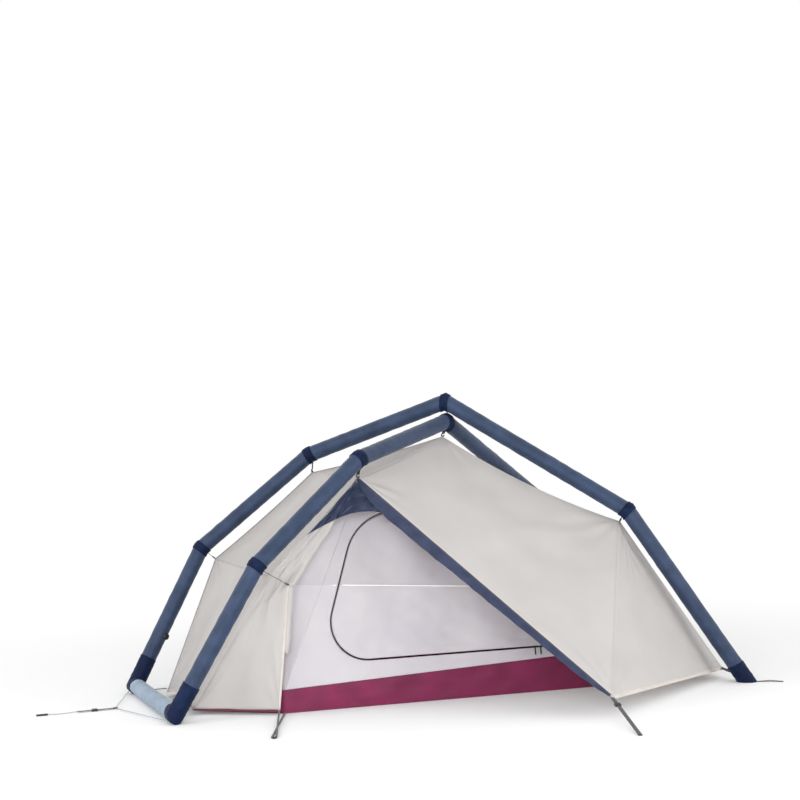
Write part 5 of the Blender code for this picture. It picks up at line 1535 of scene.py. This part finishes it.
    def end(self, top: str, low: str, knee: str, foot: str, rise: float, sign: float) -> "Loft":
        """An end of the inner tent, carried from the ring of the walls down to the tub's far edge."""
        layout = self.layout
        draw = np.array((sign * self.cloth_seam, 0.0, 0.0))
        seat, lift = np.array((0.0, 0.0, self.wall_seat)), np.array((0.0, 0.0, rise))
        near = edge(layout.at(low) + seat + draw, layout.at(top) + draw, layout.at(top, False) + draw,
                    layout.at(low, False) + seat + draw)
        front_foot, rear_foot = layout.at(foot) + seat, layout.at(foot, False) + seat
        far = edge(front_foot, front_foot + lift, rear_foot + lift, rear_foot)
        rows = [near]
        if knee:
            rows.append(edge((near[0] + front_foot) / 2, layout.at(knee), layout.at(knee, False),
                             (near[-1] + rear_foot) / 2))
        rows.append(far)
        return Loft(rows[0], rows[-1], seed=63, crease=0.0010, rows=tuple(rows))

    def build(self) -> None:
        """Builds the inner tent."""
        self.build_front()
        self.build_shell()


@dataclass
class Loft(Blend):
    """A cloth carried through a row of sections: v runs along each section, u from the first to the last."""

    rows: tuple[Array, ...] = ()

    def plain(self, u: Array, v: Array) -> Array:
        """The places between the two sections on either side of u."""
        spans = len(self.rows) - 1
        found = np.zeros((*u.shape, 3))
        for index, row in enumerate(self.rows):
            weight = np.clip(1 - np.abs(u * spans - index), 0, None)
            found += weight[..., None] * along(row, v)
        return found


@dataclass
class TubFloor:
    """The waterproof tub: a flat bottom with its sides turned up, a bound top edge and a welt at its foot."""

    layout: Layout
    finishes: Finishes
    thickness: float = 0.0012
    edge_bead: float = 0.0022
    span_steps: int = 40
    ripple_depth: float = 0.0026
    welt_radius: float = 0.0024
    area_share: float = 0.86

    def build(self) -> None:
        """Builds the bottom and sides as one surface: rings out to the side's foot, then rows up it."""
        names = ("tub_foot", "tub_corner", "tub_waist", "tub_head")
        marks = [self.layout.at(name) for name in names]
        marks += [self.layout.at(name, False) for name in reversed(names)]
        spans = [a + (b - a) * np.linspace(0, 1, self.span_steps, endpoint=False)[:, None]
                 for a, b in zip(marks, marks[1:] + marks[:1])]
        rim = np.vstack(spans)
        floor = rim * (1.0, 1.0, 0.0)
        centre = floor.mean(axis=0)
        inward = np.linspace(0.002, 1.0, 40)[:, None, None]
        bottom = centre + (floor - centre)[None] * inward
        rise = np.linspace(0.0, 1.0, 20)[1:, None, None]
        sides = floor[None] * (1 - rise) + rim[None] * rise
        out = unit((floor - centre) * (1.0, 1.0, 0.0))[None]
        past = np.arange(len(rim)) % self.span_steps
        corner = np.minimum(past, self.span_steps - past)[None, :, None] / 6
        soft = ripple(sides, (0.13, 0.13, 0.06), 71)[..., None] * self.ripple_depth * np.clip(corner, 0, 1)
        sides = sides + out * soft * np.sin(math.pi * rise * 0.9)
        places = np.concatenate([bottom, sides])
        run = run_along(rim)
        girth = np.append(run, run[-1] + 0.01)
        height = np.concatenate([np.linspace(-0.4, 0.0, 40), np.linspace(0.0, 0.12, 20)[1:]])
        flat = np.stack(np.meshgrid(girth, height), axis=-1)
        obj = grid_object("tub_floor_cloth", places, flat, wrap=True)
        with editing(obj) as bm:
            middle = [item for item in bm.edges if item.is_boundary and
                      (item.verts[0].co - Vector(centre)).length < 0.01]
            bmesh.ops.holes_fill(bm, edges=middle, sides=0)
            bmesh.ops.recalc_face_normals(bm, faces=bm.faces)
        self.face_in(obj)
        add_wall(obj, self.thickness, -1.0)
        dress(obj, self.finishes["tub"], ["tub_floor"])
        width = 2 * (self.layout.tub_waist[1] + self.layout.tub_waist[2])
        length = self.layout.tub_head[0] - self.layout.tub_foot[0] + 0.2
        declare_sheet(obj, (width, length, self.area_share * width * length))
        self.build_trim(rim, out[0])

    def face_in(self, obj: bpy.types.Object) -> None:
        """Turns the tub's faces to its outside, so that its wall grows inwards."""
        down = [face for face in obj.data.polygons if abs(face.normal.z) > 0.9]
        if sum(face.normal.z * face.area for face in down) > 0:
            obj.data.flip_normals()

    def build_trim(self, rim: Array, out: Array) -> None:
        """Builds the bound bead along the top edge and the welt round the side's foot."""
        side, up = rails(rim, out)
        bead = sweep("tub_top_binding", rim + out * 0.0004 - UP * 0.001,
                     round_section(self.edge_bead / 2, 10), side, up, joined=True)
        dress(bead, self.finishes["tub"])
        welt = sweep("tub_foot_welt", rim * (1.0, 1.0, 0.0) + out * 0.0006 + UP * 0.0026,
                     round_section(self.welt_radius, 10), side, up, joined=True)
        dress(welt, self.finishes["tub"])


@dataclass
class Guys:
    """The cords, straps and loops that peg the tent out."""

    layout: Layout
    finishes: Finishes
    cord_diameter: float = 0.0028
    webbing_width: float = 0.016
    webbing_thickness: float = 0.0020
    ground_gap: float = 0.0003
    strap_gap: float = 0.0005
    front_peg: tuple[float, float, float] = (0.127, -1.500, 0.002)
    ring: tuple[float, float, float] = (-1.462, 0.053, 0.0045)
    ring_radius: float = 0.0100
    ring_wire: float = 0.0036
    strap_end: tuple[float, float, float] = (-1.615, 0.053, 0.0045)
    toggle: tuple[float, float, float] = (-1.757, 0.053, 0.0043)
    toggle_length: float = 0.046
    bridle_start: tuple[float, float, float] = (-1.3378, 0.400, 0.012)
    peg: tuple[float, float, float] = (-1.052, -0.888, 0.00405)
    peg_loop_diameter: float = 0.0075
    peg_loop_bow: tuple[float, float] = (1.6, 1.1)
    peg_loop_hem_gap: float = 0.003

    def declare(self, obj: bpy.types.Object, path: Array) -> None:
        """Logs a cord or strap with the length of its path."""
        length = float(run_along(path)[-1])
        log.info("%s is %.3f m long", obj.name, length)

    def cord(self, name: str, path: Array, diameter: float, finish: str, node: str) -> None:
        """Lays a round cord along a path and logs its length.

        Args:
            name: the piece's name.
            path: the cord's centre line, from where it leaves the tent.
            diameter: its thickness.
            finish: the name of its finish.
            node: the solid that it stands for.
        """
        obj = sweep_on(name, path, UP, round_section(diameter / 2))
        dress(obj, self.finishes[finish], [node])
        self.declare(obj, path)

    def strap(self, name: str, path: Array, node: str, far_end: str, with_pieces: Sequence[Any]) -> None:
        """Lays a flat webbing strap along a path, flat side up, and logs its length."""
        obj = sweep_on(name, path, UP, strap_section(self.webbing_width, self.webbing_thickness))
        dress(obj, self.finishes["webbing"], [node])
        self.declare(obj, path)

    def build_foot_guy(self) -> None:
        """Builds the bridle from the foot corners, its ring, strap and the tail cord that runs to the toggle.
        """
        ring = np.array(self.ring)
        for side, sign in (("rear", 1.0), ("front", -1.0)):
            start = np.array(self.bridle_start) * (1.0, sign, 1.0)
            way = unit(start - ring)
            end = ring + way * (self.ring_radius + self.ring_wire / 2 + self.strap_gap)
            end[2] = ring[2]
            self.cord(f"bridle_{side}_cord", straight(start, end, 40), self.cord_diameter, "braid",
                      "bridle_" + side)
        turn = np.linspace(0.0, 2 * math.pi, 48, endpoint=False)
        bow = ring + self.ring_radius * np.stack([np.cos(turn), np.sin(turn), 0 * turn], axis=-1)
        out = unit(bow - ring)
        hoop = sweep("guy_ring", bow, round_section(self.ring_wire / 2, 12), out, UP, joined=True)
        dress(hoop, self.finishes["acetal"])
        start, end = ring - (self.ring_radius, 0.0, 0.0), np.array(self.strap_end)
        self.strap("left_strap_webbing", straight(start, end, 30), "left_strap", "bare",
                   ["left_buckle", hoop])
        toggle = np.array(self.toggle)
        tail = smooth_line([(end[0] - self.strap_gap, end[1], end[2]),
                            ((end[0] + toggle[0]) / 2, end[1], self.cord_diameter / 2 + self.ground_gap),
                            (toggle[0] + self.toggle_length / 2 + self.strap_gap, end[1], toggle[2])], 16)
        self.cord("left_tail_cord", tail, self.cord_diameter, "braid", "left_tail")

    def build_front_guy(self) -> None:
        """Builds the strap that pegs out the porch corner."""
        start, end = np.array(self.layout.porch), np.array(self.front_peg)
        start = start + unit(end - start) * self.strap_gap
        self.strap("front_strap_webbing", straight(start, end, 50), "front_strap", "bare", ["front_buckle"])

    def build_peg_loop(self) -> None:
        """Builds the cord loop from the fly's hem out to the peg and back to the tub's corner."""
        peg, hem = np.array(self.peg), self.layout.at("hem_foot")
        corner = self.layout.at("tub_corner") * (1.0, 1.0, 0.0) + (0.0, 0.0, peg[2])
        from_hem, from_tub = unit(peg - hem), unit(peg - corner)
        before, beside = (share * self.peg_loop_diameter for share in self.peg_loop_bow)
        across = np.array((from_tub[1], -from_tub[0], 0.0)) * beside
        near, far = peg - from_hem * before - across, peg - from_tub * before + across
        path = np.vstack([straight(hem + from_hem * self.peg_loop_hem_gap, near, 60),
                          smooth_line([near, peg, far], 8)[1:-1],
                          straight(far, corner + from_tub * self.ground_gap, 60)])
        self.cord("peg_loop_cord", path, self.peg_loop_diameter, "black_cord", "peg_loop")

    def build(self) -> None:
        """Builds the guys."""
        self.build_foot_guy()
        self.build_front_guy()
        self.build_peg_loop()


@dataclass
class Fittings:
    """The moulded pieces that keep the shape of their solids: valve, sliders, buckles and toggle."""

    finishes: Finishes
    nodes: tuple[str, ...] = ("valve_body", "valve_cap", "zip_slider_left", "zip_slider_right",
                              "fly_zip_slider", "front_buckle", "left_buckle", "left_toggle")

    def build(self, shown: dict[str, bpy.types.Object]) -> None:
        """Gives each fitting its moulded finish.

        Args:
            shown: the CAD nodes by name.
        """
        for name in self.nodes:
            obj = shown[name]
            obj.data.materials.clear()
            obj.data.materials.append(self.finishes["acetal"])
            log.info("%s keeps its solid", name)


@dataclass
class Studio:
    """The white studio: floor, world, lamps, and the camera at the photograph's viewing angle."""

    camera_place: tuple[float, float, float] = (-2.767, -7.298, 1.274)
    yaw_deg: float = 19.34
    pitch_deg: float = -0.46
    roll_deg: float = -2.07
    focal_px: float = 1814.0
    frame_px: float = 800.0
    floor_size: float = 60.0
    world_strength: float = 1.00
    floor_tone: float = 0.79
    fade_span: tuple[float, float] = (1.3, 3.2)
    fade_least: float = 0.05
    lamp_size: float = 3.0
    lamps: tuple[tuple[str, tuple[float, float, float], float], ...] = (
        ("front_softbox", (-2.6, -6.2, 1.8), 240.0),
        ("foot_softbox", (-6.5, -1.2, 2.4), 140.0),
        ("head_softbox", (4.6, -4.8, 1.8), 130.0))

    def build_camera(self) -> None:
        """Places the camera by its yaw from +Y, its pitch and its roll."""
        yaw, pitch, roll = (math.radians(a) for a in (self.yaw_deg, self.pitch_deg, self.roll_deg))
        ahead = np.array((math.sin(yaw), math.cos(yaw), 0.0)) * math.cos(pitch) + UP * math.sin(pitch)
        right = np.array((math.cos(yaw), -math.sin(yaw), 0.0))
        up = np.cross(right, ahead)
        turned_right = right * math.cos(roll) + up * math.sin(roll)
        turned_up = up * math.cos(roll) - right * math.sin(roll)
        matrix = Matrix([Vector(turned_right), Vector(turned_up), Vector(-ahead)]).transposed().to_4x4()
        matrix.translation = Vector(self.camera_place)
        data = bpy.data.cameras.new("camera")
        data.lens = self.focal_px / self.frame_px * data.sensor_width
        data.clip_start, data.clip_end = 0.1, 200.0
        camera = bpy.data.objects.new("camera", data)
        bpy.context.scene.collection.objects.link(camera)
        camera.matrix_world = matrix
        bpy.context.scene.camera = camera

    def build_world(self) -> None:
        """Lights the tent evenly, and shows pure white to camera and transmission rays."""
        world = bpy.data.worlds.new("studio")
        bpy.context.scene.world = world
        world.use_nodes = True
        tree = world.node_tree
        tree.nodes.clear()
        path = add_node(tree, "ShaderNodeLightPath")
        seen = add_node(tree, "ShaderNodeMath", {"operation": "MAXIMUM"}, None,
                        {0: path.outputs["Is Camera Ray"], 1: path.outputs["Is Transmission Ray"]})
        light = add_node(tree, "ShaderNodeBackground", None,
                         {"Color": WHITE, "Strength": self.world_strength})
        white = add_node(tree, "ShaderNodeBackground", None, {"Color": WHITE, "Strength": 1.0})
        mix = add_node(tree, "ShaderNodeMixShader", None, None,
                       {0: seen.outputs[0], 1: light.outputs[0], 2: white.outputs[0]})
        add_node(tree, "ShaderNodeOutputWorld", None, None, {"Surface": mix.outputs[0]})

    def build_floor(self) -> None:
        """Lays a white floor that fades to pure white away from the tent and keeps its soft shadow."""
        half = self.floor_size / 2
        mesh = bpy.data.meshes.new("floor")
        mesh.from_pydata([(-half, -half, 0), (half, -half, 0), (half, half, 0), (-half, half, 0)], [],
                         [(0, 1, 2, 3)])
        floor = bpy.data.objects.new("floor", mesh)
        bpy.context.scene.collection.objects.link(floor)
        floor.location.z = -0.0004
        paper, tree = new_material("matt_white_paper")
        place = add_node(tree, "ShaderNodeTexCoord")
        reach = add_node(tree, "ShaderNodeVectorMath", {"operation": "LENGTH"}, None,
                         {0: place.outputs[Reads.PLACE.value]})
        fade = add_node(tree, "ShaderNodeMapRange", {"interpolation_type": "SMOOTHSTEP"},
                        {"From Min": self.fade_span[0], "From Max": self.fade_span[1],
                         "To Min": self.fade_least, "To Max": 1.0},
                        {"Value": reach.outputs["Value"]})
        path = add_node(tree, "ShaderNodeLightPath")
        share = add_node(tree, "ShaderNodeMath", {"operation": "MULTIPLY"}, None,
                         {0: fade.outputs["Result"], 1: path.outputs["Is Camera Ray"]})
        matt = add_node(tree, "ShaderNodeBsdfDiffuse", None, {"Color": (*[self.floor_tone] * 3, 1.0)})
        white = add_node(tree, "ShaderNodeEmission", None, {"Color": WHITE, "Strength": 1.0})
        mix = add_node(tree, "ShaderNodeMixShader", None, None,
                       {0: share.outputs[0], 1: matt.outputs[0], 2: white.outputs[0]})
        add_node(tree, "ShaderNodeOutputMaterial", None, None, {"Surface": mix.outputs[0]})
        mesh.materials.append(paper)

    def build_lamp(self, name: str, place: tuple[float, float, float], power: float) -> None:
        """Adds a square soft lamp that faces the tent's middle."""
        data = bpy.data.lights.new(name, "AREA")
        data.shape, data.size, data.energy = "SQUARE", self.lamp_size, power
        lamp = bpy.data.objects.new(name, data)
        bpy.context.scene.collection.objects.link(lamp)
        lamp.location = place
        lamp.rotation_mode = "QUATERNION"
        lamp.rotation_quaternion = (Vector(MIDDLE) - Vector(place)).to_track_quat("-Z", "Y")

    def build(self) -> None:
        """Builds the studio."""
        self.build_camera()
        self.build_world()
        self.build_floor()
        for name, place, power in self.lamps:
            self.build_lamp(name, place, power)
        bpy.context.scene.view_settings.view_transform = "Standard"


def main() -> None:
    """Loads the solids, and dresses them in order."""
    logging.basicConfig(level=logging.INFO, format="%(name)s: %(message)s")
    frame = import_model()
    layout, finishes = Layout(), Finishes()
    Studio().build()
    Guys(layout, finishes).build()
    AirFrame(layout, finishes).build()
    fly = FlySheet(layout, finishes)
    fly.build()
    Doorway(fly, finishes).build()
    InnerTent(layout, finishes).build()
    TubFloor(layout, finishes).build()
    Fittings(finishes).build(frame["nodes"])
    bpy.context.view_layer.update()


if __name__ == "__main__":
    main()
